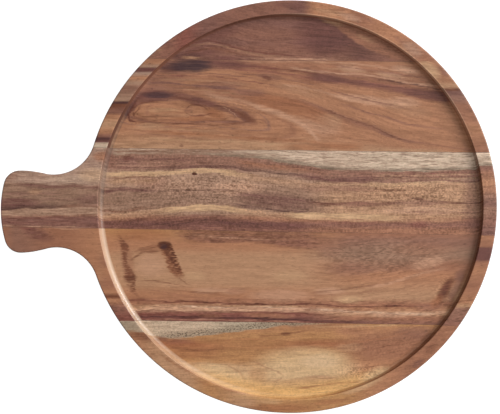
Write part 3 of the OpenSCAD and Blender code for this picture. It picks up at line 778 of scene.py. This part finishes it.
    # second dark line, from the handle on
    second = [(0, 187), (20, 188), (36, 189.4), (54, 190.4), (65, 190.5), (73, 189.5), (79, 190.3), (96, 191.3), (106, 191.5), (124, 189), (134, 190), (154, 191), (179, 190.5), (207, 189.7), (226, 190), (252, 191.5),
              (270, 195), (300, 200)]
    col = t.line(col, second, 2.0, 2.4, PLUM, 0.85, (5, 30, 95, 112), None, 0.35)
    col = t.line(col, second, 2.6, 2.2, PLUM, 0.95, (100, 108, 140, 160), None, 0.3)
    col = t.line(col, second, 0.9, 1.2, SOOT, 0.7, (130, 150, 235, 255), 0, 0.7)
    col = t.line(col, [(0, 196.7), (45, 196.7)], 2.0, 3.0, MAUVE, 0.6, (0, 8, 50, 70))
    col = t.line(col, [(0, 202.7), (60, 203), (85, 202.5), (100, 200)], 1.4, 1.4, MAUVE, 0.7, (0, 8, 80, 110), None, 0.6)
    col = t.patch(col, 35, 195.5, 9, 4, TAN, 0.7, broken=0.6)
    col = t.patch(col, 90, 204, 18, 9, MAUVE, 0.7, rim=1)
    col = t.patch(col, 126, 200, 24, 8, OLIVE, 0.5, rim=0, broken=0.6)
    # brown and purple towards the right
    col = t.patch(col, 278, 202, 54, 11, PLUM, 0.75, turn=6, rim=0, broken=0.5)
    col = t.line(col, [(232, 193), (252, 195), (271, 197.5), (300, 200.5)], 1.2, 1.8, PLUM, 0.75, (232, 244, 300, 325), 0)
    col = t.line(col, [(228, 203), (240, 205), (258, 208), (278, 210), (305, 211.5), (325, 212)], 1.2, 1.8, SOOT, 0.75, (224, 236, 300, 328), 0, 0.35)
    # third dark line, very dark at the end of the handle
    third = [(0, 212.5), (10, 212.3), (23, 211), (34, 211.2), (43, 210.2), (52, 210.6), (61, 210), (73, 209.6), (80, 209.8), (96, 210.2), (106, 211), (121, 211.5), (138, 208.5), (151, 207), (172, 204)]
    col = t.patch(col, 14, 206.5, 36, 7, PLUM, 0.95, broken=0.4)
    col = t.line(col, third, 3.4, 1.6, SOOT, 0.95, (-10, -5, 45, 90), None, 0.3)
    col = t.line(col, third, 1.8, 1.4, UMBER, 0.85, (50, 75, 135, 160), None, 0.45)
    # second light stripe
    light = [(0, 216), (30, 215.5), (50, 215), (70, 214.5), (85, 214.4), (97, 214.6), (106, 215.5), (121, 214.5), (138, 212.5), (158, 210), (171, 208.2), (187, 206.8), (206, 206), (226, 207), (239, 209.3), (252, 211.5),
             (278, 214), (300, 214.5), (330, 215), (370, 216), (400, 217), (440, 217)]
    col = t.line(col, light, 2.5, 5.0, TAN, 0.9, (95, 105, 440, 475), None, 0.35)
    col, mh = t.band(col, moved(light, -2.0), moved(light, 4.5), (2, 2.5), FAWN, 1.0, (-10, -5, 95, 110), None, 0.1)
    col, m2 = t.band(col, moved(light, -1.5), moved(light, 4.0), (1.8, 4), SAND, 1.0, (150, 180, 225, 258), 0, 0.15)
    col, m3 = t.band(col, moved(light, -2.0), moved(light, 4.0), (2.5, 4), SAND, 1.0, (280, 300, 380, 415), 0, 0.2)
    # purple below it on the left, reddish on the right
    col, _ = t.band(col, [(0, 221), (60, 220), (97, 219.5), (106, 220), (160, 217.5), (206, 214.5), (240, 218.5), (280, 222), (330, 226)], None, (4, 1), PLUM, 0.8, (60, 100, 285, 330), None, 0.5)
    col, _ = t.band(col, [(0, 220.7), (60, 219.7), (97, 219.5)], None, (3, 1), MAUVE, 0.9, (-30, -20, 90, 110), None, 0.3)
    col = t.line(col, [(120, 224), (175, 224), (206, 221), (250, 225), (290, 227)], 3.0, 3.0, SOOT, 0.6, (120, 138, 255, 285), 0, 0.7)
    for v in (222.2, 226.2):
        col = t.line(col, [(0, v), (60, v - 0.6), (97, v)], 0.8, 0.9, WINE, 0.6, (2, 10, 60, 90), 1, 0.6)
    col = t.line(col, [(0, 229.9), (45, 230.3), (90, 231)], 0.8, 0.6, BLUSH, 0.8, (0, 4, 80, 96), 1, 0.6)
    col = t.patch(col, 290, 226, 22, 5, PLUM, 0.7, rim=0)
    col = t.patch(col, 420, 225, 13, 4, ROSE, 0.75, rim=0, broken=0.2)
    # right half
    col = t.line(col, [(305, 202), (325, 203.5), (354, 203), (381, 203.5), (404, 202)], 2.0, 2.2, WINE, 0.9, (303, 322, 395, 412), 0, 0.4)
    col = t.line(col, [(400, 195), (420, 199), (432, 201.5), (443, 202.5), (490, 203)], 1.0, 1.5, WINE, 0.85, (404, 416), None, 0.3)
    col = t.line(col, [(340, 189), (385, 190), (412, 189.5)], 1.0, 1.6, UMBER, 0.7, (338, 355, 400, 416), 0, 0.7)
    col = t.line(col, [(350, 194), (400, 194.5), (440, 193)], 0.8, 1.2, UMBER, 0.5, (350, 362, 420, 440), 0, 0.8)
    col = t.patch(col, 340, 188, 52, 6, BROWN, 0.7, rim=0)
    col = t.patch(col, 362, 204.5, 34, 4.5, EARTH, 0.8, rim=0)
    col = t.patch(col, 420, 203, 34, 4.5, BROWN, 0.9, rim=0)
    col = t.patch(col, 362, 173, 32, 4.5, EARTH, 0.75, rim=0)
    col = t.patch(col, 425, 211, 54, 5, BLUSH, 0.7, rim=0)
    col = t.patch(col, 476, 205, 16, 40, PLUM, 0.6, rim=0)
    col = t.line(col, [(395, 211), (430, 212.5), (470, 213)], 0.7, 1.0, EARTH, 0.75, (396, 410), 0)
    col = t.line(col, [(300, 223), (380, 223.5), (460, 224)], 0.9, 1.1, ROSE, 0.6, (320, 340, 400, 420), 0, 0.7)
    ring = t.ramp(t.v, 150, 240, [(168, EARTH), (174, CLAY), (183, WARM), (190, CLAY), (197, BROWN), (204, MAUVE), (209, BROWN), (216, BROWN), (222, EARTH), (230, MAUVE)])
    col = t.mix(t.rim * t.step(t.u, 430.0, 445.0) * t.step(t.f, 168.5, 171.5) * 0.9, col, ring)
    # painted shade: the far left of the wall is made as dark as the floor beside it, where a glint would show
    col = t.patch(col, 109, 155, 6, 16, EARTH, 0.7, broken=0.2)
    col = t.patch(col, 450, 156, 14, 4, STRAW, 0.4, rim=0)
    col = t.patch(col, 370, 172, 14, 4, BROWN, 0.5, rim=0)
    # grain and curl
    curl = t.zone(195, 186, 70, 22) * 0.12 + t.zone(412, 193.5, 66, 12) * 0.13 + t.zone(436, 229, 26, 6) * 0.06
    calm = (1.0 - m1 * 0.6) * (1.0 - m2 * 0.75) * (1.0 - m3 * 0.75) * (1.0 - m * 0.7)
    hand = t.step(t.u, 90.0, 115.0)
    far = (1.0 - t.step(t.v, 180.0, 214.0)) * (1.0 - t.step(t.u, 110.0, 200.0))
    # the wall gets painted shade on the right half and the far left, and the cove a faint painted highlight at the near
    # left
    return t.finish(t.grain(col, 0.12, 0.26 - hand * 0.03, ((hand * 0.12 + 0.10) + curl) * calm), (1.0, 1.02, 1.06), t.step(t.u, 200.0, 400.0) * 0.5 + far * 0.2, wall_painted_highlight=0.12, cove_dull=far * 0.4)


def stave_4():
    """Plain warm brown with a dark knot figure at the left and a striped near edge."""
    t = Wood("wood_stave_4", 0.3, 19.0, [(0, 0), (260, 0), (330, 2), (380, -2), (440, -12), (490, -20)])
    left = t.ramp(t.f, 220, 330, [(228, AMBER), (245, WARM), (258, TAN), (282, TAN), (296, WARM), (303, CLAY), (307, TAN), (311, BLUSH), (314, ROSE), (320, PLUM)])
    right = t.ramp(t.f, 220, 330, [(232, CLAY), (242, BROWN), (255, OLIVE), (268, CLAY), (276, WARM), (298, TAN), (305, CLAY), (309, WARM), (314, TAN), (319, CLAY), (325, EARTH)])
    col = t.mix(t.step(t.u, 290.0, 360.0), left, right)
    # under the third joint
    col, m = t.band(col, None, [(170, 234), (195, 241), (258, 243), (300, 248), (340, 251)], (1, 4), PLUM, 0.75, (160, 195, 300, 340), 0, 0.35)
    col = t.line(col, [(180, 234), (230, 238), (300, 241)], 0.8, 1.0, BLUSH, 0.6, (188, 198, 260, 290), 0, 0.8)
    col = t.patch(col, 140, 235, 36, 9, RUST, 0.7, rim=0)
    col = t.patch(col, 280, 296, 40, 8, BLUSH, 0.7, rim=0, broken=0.2)
    col = t.patch(col, 208, 291, 20, 4, BLUSH, 0.7, rim=0, broken=0.2)
    col = t.patch(col, 350, 300, 18, 4.5, SAND, 0.8, rim=0, broken=0.2)
    col = t.patch(col, 290, 276, 24, 7, SAND, 0.5, rim=0, broken=0.2)
    col = t.patch(col, 330, 292, 20, 5, BLUSH, 0.7, rim=0, broken=0.2)
    col = t.patch(col, 232, 292, 18, 4, BLUSH, 0.6, rim=0, broken=0.2)
    # the knot figure: a broken ring of dark dashes, which doesn't go right through the board
    clear = col
    col = t.patch(col, 150, 266, 20, 15, BLUSH, 0.5, rim=0, broken=0.0)
    col = t.patch(col, 127, 262, 8, 28, CLAY, 0.7, broken=0.3, rim=0, turn=-8)
    col = t.dashes(col, [(228, 113), (239, 118), (247, 120), (256, 121.5), (264, 122.5), (272, 124), (278, 124.5), (284, 127), (290, 130), (300, 137)],
                   [(228, 117), (239, 122), (247, 128.5), (256, 126.5), (264, 128), (272, 133), (278, 135), (284, 135), (290, 135), (300, 143)], UMBER, 0.9, (230, 242, 288, 303), 0.12, 7.0)
    col = t.patch(col, 124, 247, 4.5, 5, UMBER, 0.8, broken=0.5, rim=0)
    col = t.patch(col, 129.5, 278, 5.5, 9, UMBER, 0.85, broken=0.4, rim=0, turn=80)
    col = t.patch(col, 130, 279, 3.5, 6, BARK, 0.6, broken=0.7, rim=0, turn=80)
    knot_r = [(240, 168.5), (245, 171), (252, 174), (259, 177), (265, 179.5), (271, 182), (277, 185)]
    col = t.dashes(col, [(240, 157), (247, 158), (252, 161), (258, 164), (265, 166), (271, 169), (277, 175)], knot_r, RUST, 0.75, (241, 244, 274, 280), 0.3, 9.0)
    col = t.dashes(col, [(240, 158), (247, 159), (252, 162), (258, 165), (265, 167), (271, 170), (277, 176)], knot_r, UMBER, 0.95, (241, 244, 273, 279), 0.1, 8.0)
    col = t.dashes(col, [(240, 160), (247, 162), (258, 169), (265, 173), (277, 180)], knot_r, BARK, 0.75, (241, 245, 262, 278), 0.05, 6.0)
    col = t.patch(col, 164, 246, 9, 5.5, BARK, 0.9, rim=0, broken=0.2, soft=0.2)
    col = t.patch(col, 163, 247, 5, 3.5, NIGHT, 0.6, rim=0, broken=0.2)
    col = t.patch(col, 149, 251, 13, 3.6, UMBER, 0.9, rim=0, broken=0.85)
    col = t.patch(col, 194, 276, 16, 6, SAND, 0.5, rim=0, broken=0.2)
    col = t.line(col, [(128, 254), (141, 250.5), (154, 247.5), (162, 246)], 1.4, 1.4, UMBER, 0.95, (131, 136, 156, 166), 0, 0.75)
    col = t.line(col, [(134, 250), (144, 247.5), (156, 245)], 0.9, 1.0, UMBER, 0.8, (136, 140, 150, 160), 0, 0.85)
    col = t.line(col, [(128, 262), (135, 257), (142, 253)], 1.6, 1.6, UMBER, 0.9, (127, 132, 139, 146), 0, 0.7)
    col = t.line(col, [(176, 277), (184, 282), (192, 286)], 0.9, 0.9, UMBER, 0.7, (176, 179, 186, 193), 0, 0.6)
    col = t.mix(t.step(t.z, 3.0, 9.0), clear, col)
    # quiet lines
    col = t.line(col, [(138, 280.5), (160, 282), (178, 285), (190, 289)], 0.8, 1.0, UMBER, 0.7, (138, 146, 176, 192), 0)
    col = t.line(col, [(170, 291), (195, 292.5), (222, 295)], 0.8, 1.1, UMBER, 0.7, (172, 180, 212, 226), 0)
    col = t.patch(col, 237, 292, 14, 4, CLAY, 0.7, rim=0, broken=0.9)
    col = t.line(col, [(140, 289), (200, 298)], 0.8, 1.0, CLAY, 0.7, (142, 155, 190, 205), 0)
    col = t.line(col, [(150, 294), (230, 299), (290, 300)], 0.8, 1.0, CLAY, 0.7, (150, 165, 270, 295), 0)
    # striped near edge
    thin = [(110, 300), (128, 300.7), (154, 301), (168, 302.3), (189, 302), (206, 302.8), (239, 304.5), (290, 305), (306, 304.3), (326, 305.2), (347, 307), (381, 307.2), (408, 306.6), (440, 307.3)]
    col = t.line(col, thin, 0.9, 1.3, WINE, 0.95, (112, 130, 390, 450), 0, 0.25)
    col = t.line(col, [(140, 308), (190, 308.5), (240, 309.5), (290, 309.5), (340, 311.5), (354, 312.5), (401, 315), (445, 313)], 2.6, 2.8, BLUSH, 0.85, (135, 165, 440, 462), None, 0.35)
    col = t.patch(col, 310, 308, 16, 4, CLAY, 0.8, rim=0, broken=0.2)
    col = t.patch(col, 430, 308, 18, 5, EARTH, 0.7, rim=0, broken=0.2)
    col = t.patch(col, 390, 316, 20, 3.5, BLUSH, 0.6, rim=0, broken=0.2)
    col = t.patch(col, 270, 316, 34, 3.5, WARM, 0.6, rim=0, turn=2)
    col = t.line(col, [(150, 307), (220, 308), (290, 308.5), (354, 312), (401, 314.5)], 0.8, 0.8, CREAM, 0.5, (165, 190, 420, 445), 0, 0.6)
    col = t.line(col, moved(thin, 3.4), 0.6, 0.8, CLAY, 0.8, (125, 140, 300, 340), 0, 0.6)
    col = t.line(col, [(125, 311), (200, 312), (290, 313.4), (340, 316)], 0.8, 1.0, WINE, 0.8, (125, 140, 300, 340), 0, 0.5)
    col, _ = t.band(col, [(100, 314.5), (200, 316.8), (240, 318.6), (285, 321), (300, 321.4), (326, 322), (367, 322.5), (400, 324)], None, (2.5, 1), ROSE, 0.9, (95, 120, 360, 400), None, 0.3)
    col = t.line(col, [(110, 317.5), (200, 317.5), (285, 320), (326, 322), (360, 323)], 1.4, 1.4, SOOT, 0.9, (105, 125, 345, 390), None, 0.3)
    col = t.line(col, [(130, 319.8), (200, 320), (285, 322.2), (326, 324)], 0.7, 0.7, BLUSH, 0.5, (135, 150, 290, 320), 0, 0.7)
    # right half
    col = t.patch(col, 382, 256, 58, 20, OLIVE, 0.7, rim=0, broken=0.4)
    col = t.patch(col, 352, 270, 30, 9, BROWN, 0.7, rim=0, broken=0.6)
    col = t.patch(col, 368, 323, 20, 4, MAUVE, 0.7, rim=0)
    col = t.patch(col, 330, 252, 16, 8, BROWN, 0.6, rim=0, broken=0.6)
    col = t.patch(col, 425, 250, 40, 10, CLAY, 0.5, rim=0)
    col = t.line(col, [(360, 289), (372, 287), (388, 284), (408, 278), (436, 270.5), (450, 267)], 1.8, 2.0, BLUSH, 0.55, (362, 378, 438, 452), 0)
    col = t.line(col, [(305, 293.5), (338, 290.5), (362, 287), (381, 284)], 0.8, 1.2, UMBER, 0.65, (304, 318, 370, 386), 0)
    col = t.line(col, [(310, 296), (350, 294), (380, 291)], 0.8, 1.0, CLAY, 0.8, (310, 320, 370, 385), 0, 0.8)
    col = t.patch(col, 446, 291, 19, 6.5, UMBER, 0.9, turn=122, rim=0, broken=0.6)
    col = t.patch(col, 447, 290, 10, 3.5, BARK, 0.6, turn=122, rim=0, broken=0.8)
    col = t.patch(col, 440, 303, 9, 4, UMBER, 0.5, turn=122, rim=0, broken=0.8)
    col = t.patch(col, 450, 299, 10, 6, UMBER, 0.7, turn=122, rim=0, broken=0.5)
    col = t.patch(col, 452, 283, 9, 6, UMBER, 0.6, turn=122, rim=0, broken=0.5)
    col = t.patch(col, 430, 263, 22, 8, BLUSH, 0.7, turn=-15, rim=0, broken=0.2)
    col = t.patch(col, 461, 276, 9, 7, MAUVE, 0.8, turn=120, rim=0)
    col = t.patch(col, 210, 316, 15, 3, CLAY, 0.6, rim=0)
    col = t.patch(col, 457, 289, 18, 5, MAUVE, 0.6, turn=120, rim=0, broken=0.2)
    col = t.patch(col, 445, 292, 17, 6.5, UMBER, 0.8, turn=120, rim=0, broken=0.3)
    col = t.patch(col, 445, 291, 10, 4, WINE, 0.7, turn=120, rim=0, broken=0.7)
    col = t.patch(col, 437, 302, 10, 6, RUST, 0.8, turn=130, rim=0, broken=0.4)
    # handle and rim
    hand = t.ramp(t.u, -10, 130, [(0, CLAY), (16, BROWN), (60, CLAY), (100, WARM)])
    col = t.mix(1.0 - t.step(t.u, 96.0, 106.0), col, hand)
    col = t.patch(col, 25, 228, 13, 6, ROSE, 0.85, turn=20)
    col = t.patch(col, 38, 236, 20, 8, PLUM, 0.8, turn=20, broken=0.6)
    col = t.line(col, [(56, 230), (66, 230.3), (80, 230)], 0.9, 0.7, BLUSH, 0.9, (50, 58, 76, 84), 1, 0.2)
    rim_l = t.ramp(t.v, 220, 335, [(232, WARM), (250, WARM), (262, CLAY), (272, WARM), (285, CLAY), (292, WARM), (297, UMBER), (300, WARM), (308, EARTH), (318, ROSE)])
    rim_r = t.ramp(t.v, 220, 335, [(233, WARM), (246, CLAY), (248.5, PLUM), (259, PLUM), (263, CLAY), (270, WARM), (285, CLAY), (302, WARM), (306, TAN), (309, BROWN), (330, EARTH)])
    col = t.mix(t.rim * t.step(t.u, 90.0, 106.0), col, t.mix(t.step(t.u, 250.0, 300.0), rim_l, rim_r))
    curl = t.zone(385, 256, 80, 26, 0.0) * 0.20 + t.zone(40, 234, 20, 8) * 0.16 + t.zone(445, 291, 14, 18) * 0.15
    edge = t.step(t.f, 296.0, 304.0)
    # the wall gets painted shade on the right half, and the cove a painted highlight at the near left
    return t.finish(t.grain(col, 0.06, 0.09 + edge * 0.16 + m * 0.14 + t.zone(385, 262, 110, 44, 0.0) * 0.10, (0.05 + m * 0.22) + curl + edge * 0.12, 5.5), (0.97, 0.96, 0.97), t.step(t.u, 200.0, 400.0) * 0.5, wall_painted_highlight=0.65)


def stave_5():
    """Golden, with a grey-cream sapwood wedge at the left and a pale glow in the middle."""
    t = Wood("wood_stave_5", 0.4, 29.0, [(110, 6), (200, 3), (290, 0), (340, -2), (380, -7), (450, -20)])
    left = t.ramp(t.f, 315, 415, [(322, WARM), (338, AMBER), (345, RUST), (353, AMBER), (361, AMBER), (368, SAND), (384, SAND), (392, GOLD), (400, SAND)])
    right = t.ramp(t.f, 315, 415, [(324, AMBER), (332, WARM), (342, CLAY), (354, CLAY), (366, WARM), (380, AMBER), (392, AMBER), (404, CLAY)])
    col = t.mix(t.step(t.u, 320.0, 375.0), left, right)
    col = t.patch(col, 250, 342, 60, 10, AMBER, 0.85, rim=0)
    col = t.patch(col, 250, 360, 24, 10, AMBER, 0.6, rim=0)
    # sapwood wedge
    edge = [(110, 330), (130, 333), (145, 335.5), (154, 337), (164, 338.5), (174, 339), (188, 338), (208, 335.5), (225, 333), (248, 330.5), (271, 328), (290, 326.5), (310, 325.2), (340, 324)]
    sap = t.ramp(t.u, 100, 360, [(120, GREY), (140, PALE), (200, PALE), (240, GREY), (270, GREY), (300, STRAW), (340, AMBER)])
    col, m = t.band(col, None, edge, (1, 2.2), sap, 0.97, (80, 90, 295, 350), None, 0.0)
    pale = t.step(t.noise(t.plain / 4.0, t.flat / 1.2, 39.0, detail=2.0), -0.1, 0.3)
    col = t.mix(pale * m * 0.35, col, GREY)
    near = t.step(t.f - t.curve(t.u, edge), -8.0, -4.0) * t.step(t.u, 150.0, 172.0)
    col = t.mix(near * m * 0.45, col, ASH)
    spot = t.step(t.noise(t.plain / 2.1, t.flat / 1.2, 37.0, detail=1.0), -0.05, 0.2)
    col = t.mix(spot * m * (near * 0.55 + 0.22), col, MOSS)
    col = t.patch(col, 178, 342.5, 20, 5, ROSE, 0.6, rim=0, broken=0.5)
    col = t.patch(col, 160, 340, 10, 3.5, PLUM, 0.7, rim=0)
    col = t.patch(col, 195, 352, 36, 9, RUST, 0.75, rim=0)
    col = t.line(col, [(165, 347), (185, 349.5), (200, 350.5), (240, 348)], 1.2, 1.6, UMBER, 0.7, (163, 172, 205, 245), 0, 0.6)
    col = t.line(col, [(170, 356), (210, 358), (240, 356)], 0.8, 1.2, UMBER, 0.45, (172, 184, 225, 245), 0, 0.7)
    col = t.line(col, [(255, 337.5), (275, 336), (290, 333.5), (310, 331)], 0.9, 1.1, UMBER, 0.8, (256, 262, 295, 315), 0, 0.4)
    col = t.patch(col, 286, 334.5, 6, 2.6, UMBER, 0.9, rim=0, broken=0.2)
    col = t.line(col, [(200, 342), (250, 340), (300, 342), (340, 340)], 0.9, 1.2, RUST, 0.6, (205, 220, 325, 345), 0, 0.6)
    col = t.patch(col, 350, 332, 18, 5, CLAY, 0.7, rim=0)
    col = t.patch(col, 414, 334, 26, 9, EARTH, 0.85, rim=0)
    # pale middle and golden near wall
    glow = t.math("MAXIMUM", t.zone(305, 367, 62, 24, 0.0), t.zone(319, 363, 42, 17, 0.0))
    col = t.mix(glow * (1.0 - t.rim) * 0.85, col, HONEY)
    col = t.patch(col, 320, 362, 26, 10, CREAM, 0.2, rim=0, broken=0.1)
    col = t.patch(col, 225, 378, 36, 15, HONEY, 0.9, turn=18, rim=0, broken=0.1)
    col = t.patch(col, 374, 377, 22, 9, HONEY, 0.85, turn=-25, rim=0, broken=0.3)
    col = t.patch(col, 315, 383, 46, 6, AMBER, 0.6, rim=0, broken=0.2)
    col = t.patch(col, 350, 348, 18, 6, TAN, 0.7, rim=0, broken=0.2)
    col = t.patch(col, 258, 375, 12, 14, AMBER, 0.5, rim=0, turn=30, broken=0.2)
    col = t.dashes(col, [(362, 222), (366, 226), (371, 235), (376, 240), (384, 244.5), (392, 252)], [(362, 226), (366, 229.5), (371, 238.5), (376, 243.5), (384, 248), (392, 256)], RUST, 0.3, (364, 367, 386, 392), 0.4, 2.5)
    col = t.line(col, [(252, 362), (264, 367), (275, 371.5), (284, 376)], 0.8, 0.9, CLAY, 0.7, (251, 255, 280, 286), 0)
    col = t.line(col, [(268, 384), (278, 381), (284, 377)], 0.8, 0.9, CLAY, 0.6, (266, 270, 281, 285), 0)
    # the floor by the near wall takes a golden tone, partly the wood's own and partly painted light
    gold_and_painted_light = t.step(t.r, 148.0, 160.0) * t.step(t.v, 368.0, 384.0) * (1.0 - t.rim) * t.step(t.z, FLOOR - 3.0, FLOOR - 1.0)
    col = t.mix(gold_and_painted_light * t.span(t.u, 205.0, 350.0, 30.0, 30.0) * 0.8, col, GOLD)
    col = t.line(col, [(295, 389.5), (318, 387), (343, 383.5), (364, 382)], 0.9, 1.2, RUST, 0.85, (294, 302, 352, 368), 0)
    col = t.patch(col, 322, 378, 22, 3, CLAY, 0.6, rim=0, broken=0.8)
    col = t.patch(col, 385, 345, 40, 14, CLAY, 0.7, turn=-8, rim=0)
    col = t.line(col, [(330, 345), (370, 341), (410, 332)], 0.8, 1.2, RUST, 0.7, (332, 345, 395, 415), 0)
    col = t.line(col, [(340, 355), (375, 350), (410, 340)], 0.8, 1.2, UMBER, 0.5, (345, 358, 395, 415), 0)
    col = t.line(col, [(300, 327), (350, 327), (400, 325.5)], 1.0, 1.4, SAND, 0.7, (305, 325, 385, 410), 0)
    # rim
    ring = t.ramp(t.u, 100, 460, [(130, WARM), (165, TAN), (185, TAN), (210, AMBER), (245, TAN), (270, AMBER), (300, AMBER), (345, AMBER), (380, WARM), (410, CLAY), (440, CLAY)])
    col = t.mix(t.rim * t.step(t.f - t.curve(t.u, edge), -1.0, 1.5), col, ring)
    col = t.patch(col, 128, 329, 20, 8, ASH, 0.7, rim=1, broken=0.2)
    col = t.patch(col, 143, 339, 17, 6, UMBER, 0.9, rim=1, turn=10)
    col = t.patch(col, 330, 404, 24, 4, RUST, 0.7, rim=1, turn=-8)
    col = t.patch(col, 362, 388, 28, 6, SAND, 0.85, turn=-22, rim=1, broken=0.2)
    col = t.patch(col, 280, 411, 46, 6, RUST, 0.8, rim=1)
    col = t.patch(col, 290, 399, 70, 5, GOLD, 0.6, rim=1)
    for cu, cv, turn in ((185, 372, 28), (205, 386, 22), (228, 392, 16), (168, 362, 34)):
        col = t.patch(col, cu, cv, 14, 1.8, RUST, 0.55, rim=1, turn=turn)
    col = t.patch(col, 418, 366, 9, 4.5, PLUM, 0.7, turn=-35, rim=1)
    col = t.patch(col, 270, 404, 15, 4, SAND, 0.5, rim=1)
    col = t.patch(col, 431, 351, 11, 6, UMBER, 0.55, turn=-45, rim=1)
    col = t.patch(col, 430, 340, 12, 6, UMBER, 0.5, rim=0)
    curl = t.zone(361, 373, 30, 10, 0.0) * 0.22 + t.zone(380, 345, 50, 14) * 0.05
    calm = t.zone(318, 362, 40, 18, 0.0) * 0.08
    # the wall gets painted shade on the right, and the cove a painted highlight at the near left
    return t.finish(t.grain(col, 0.08, 0.16 - calm, 0.08 + curl), (0.99, 0.99, 0.98), t.step(t.u, 280.0, 380.0) * 0.5, wall_painted_highlight=0.35)


def glue():
    t = Tree("cured_glue")
    pos = t.node("ShaderNodeTexCoord")
    sep = t.node("ShaderNodeSeparateXYZ")
    t.nt.links.new(pos.outputs["Object"], sep.inputs[0])
    x, y, z = (S(t, o) for o in sep.outputs)
    n = t.noise(x * 90.0, y * 90.0, z * 500.0, detail=3.0)
    col = t.mix(t.step(n, -0.3, 0.5), "4a3028", "6b4a3a")
    b = t.node("ShaderNodeBsdfPrincipled")
    t.put(col, b.inputs["Base Color"])
    t.put(0.46 + n * 0.08, b.inputs["Roughness"])
    out = t.node("ShaderNodeOutputMaterial")
    t.nt.links.new(b.outputs[0], out.inputs[0])
    return t.mat


# ---------------------------------------------------------------- pieces
board = board_mesh()
g = GLUE / 2
edges = [None] + SEAMS + [None]
names = ["far_edge_stave", "upper_stave", "middle_stave", "lower_stave", "near_edge_stave"]
nodes = ["stave_1_far_edge", "stave_2_upper", "stave_3_middle", "stave_4_lower", "stave_5_near_edge"]
woods = [stave_1(), stave_2(), stave_3(), stave_4(), stave_5()]
for i in range(5):
    far, near = edges[i], edges[i + 1]
    obj = piece(names[i], board, near and (near[0] + g, near[1]), far and (far[0] - g, far[1]), nodes[i])
    obj.data.materials.append(woods[i])
film = glue()
for i, (off, deg) in enumerate(SEAMS):
    node = f"glue_line_{i + 1}_{i + 2}"
    obj = piece(f"glue_film_{i + 1}_{i + 2}", board, (off - g, deg), (off + g, deg), node)
    obj.data.materials.append(film)
board.free()

# ---------------------------------------------------------------- floor, light and camera
scene = bpy.context.scene
mesh = bpy.data.meshes.new("floor")
mesh.from_pydata([(-12, -12, 0), (12, -12, 0), (12, 12, 0), (-12, 12, 0)], [], [(0, 1, 2, 3)])
floor = bpy.data.objects.new("floor", mesh)
floor.location.z = -0.0004
scene.collection.objects.link(floor)
ft = Tree("pale_floor")
fb = ft.node("ShaderNodeBsdfPrincipled")
fb.inputs["Base Color"].default_value = (0.25, 0.25, 0.25, 1)
fb.inputs["Roughness"].default_value = 0.9
fb.inputs["Specular IOR Level"].default_value = 0.1
fb.inputs["Emission Color"].default_value = (1, 1, 1, 1)
fb.inputs["Emission Strength"].default_value = 1.0
fo = ft.node("ShaderNodeOutputMaterial")
ft.nt.links.new(fb.outputs[0], fo.inputs[0])
mesh.materials.append(ft.mat)

world = bpy.data.worlds.new("studio")
scene.world = world
world.use_nodes = True
bg = next(n for n in world.node_tree.nodes if n.type == "BACKGROUND")
bg.inputs[0].default_value = (1, 1, 1, 1)
bg.inputs[1].default_value = 0.16


def softbox(name, az, el, dist, size, radiance):
    """A soft light aimed at the middle of the disc. az is measured as the camera sees it, from the right towards the far edge."""
    light = bpy.data.lights.new(name, "AREA")
    light.shape = "RECTANGLE"
    light.size, light.size_y = size
    light.energy = radiance * math.pi * size[0] * size[1]
    obj = bpy.data.objects.new(name, light)
    a, e = math.radians(az) - TURN, math.radians(el)
    obj.location = (dist * math.cos(e) * math.cos(a), dist * math.cos(e) * math.sin(a), dist * math.sin(e))
    obj.rotation_euler = (-obj.location).to_track_quat("-Z", "Y").to_euler()
    scene.collection.objects.link(obj)
    return obj


softbox("key", 28, 25, 5.0, (0.9, 2.4), 25.0)
softbox("high", 28, 53, 5.0, (0.8, 1.8), 10.0)
softbox("window", 15, 31, 5.0, (3.4, 2.6), 3.7)
softbox("near", -80, 45, 4.0, (2.8, 1.8), 1.3)
softbox("far", 100, 50, 4.0, (2.8, 1.8), 1.3)

cam = bpy.data.cameras.new("camera")
cam.lens, cam.sensor_width, cam.sensor_fit = 85.0, 36.0, "HORIZONTAL"
cam.clip_start, cam.clip_end = 0.01, 50.0
camera = bpy.data.objects.new("camera", cam)
px, py = (250 - MID_U) * UNIT, -(207 - MID_V) * UNIT
ct, st = math.cos(TURN), math.sin(TURN)
camera.location = ((px * ct + py * st) * 0.001, (-px * st + py * ct) * 0.001, 0.001 * (T + 500 * UNIT * 85.0 / 36.0))
camera.rotation_euler = (0, 0, -TURN)
scene.collection.objects.link(camera)
scene.camera = camera
scene.view_settings.view_transform = "Standard"
scene.view_settings.look = "None"
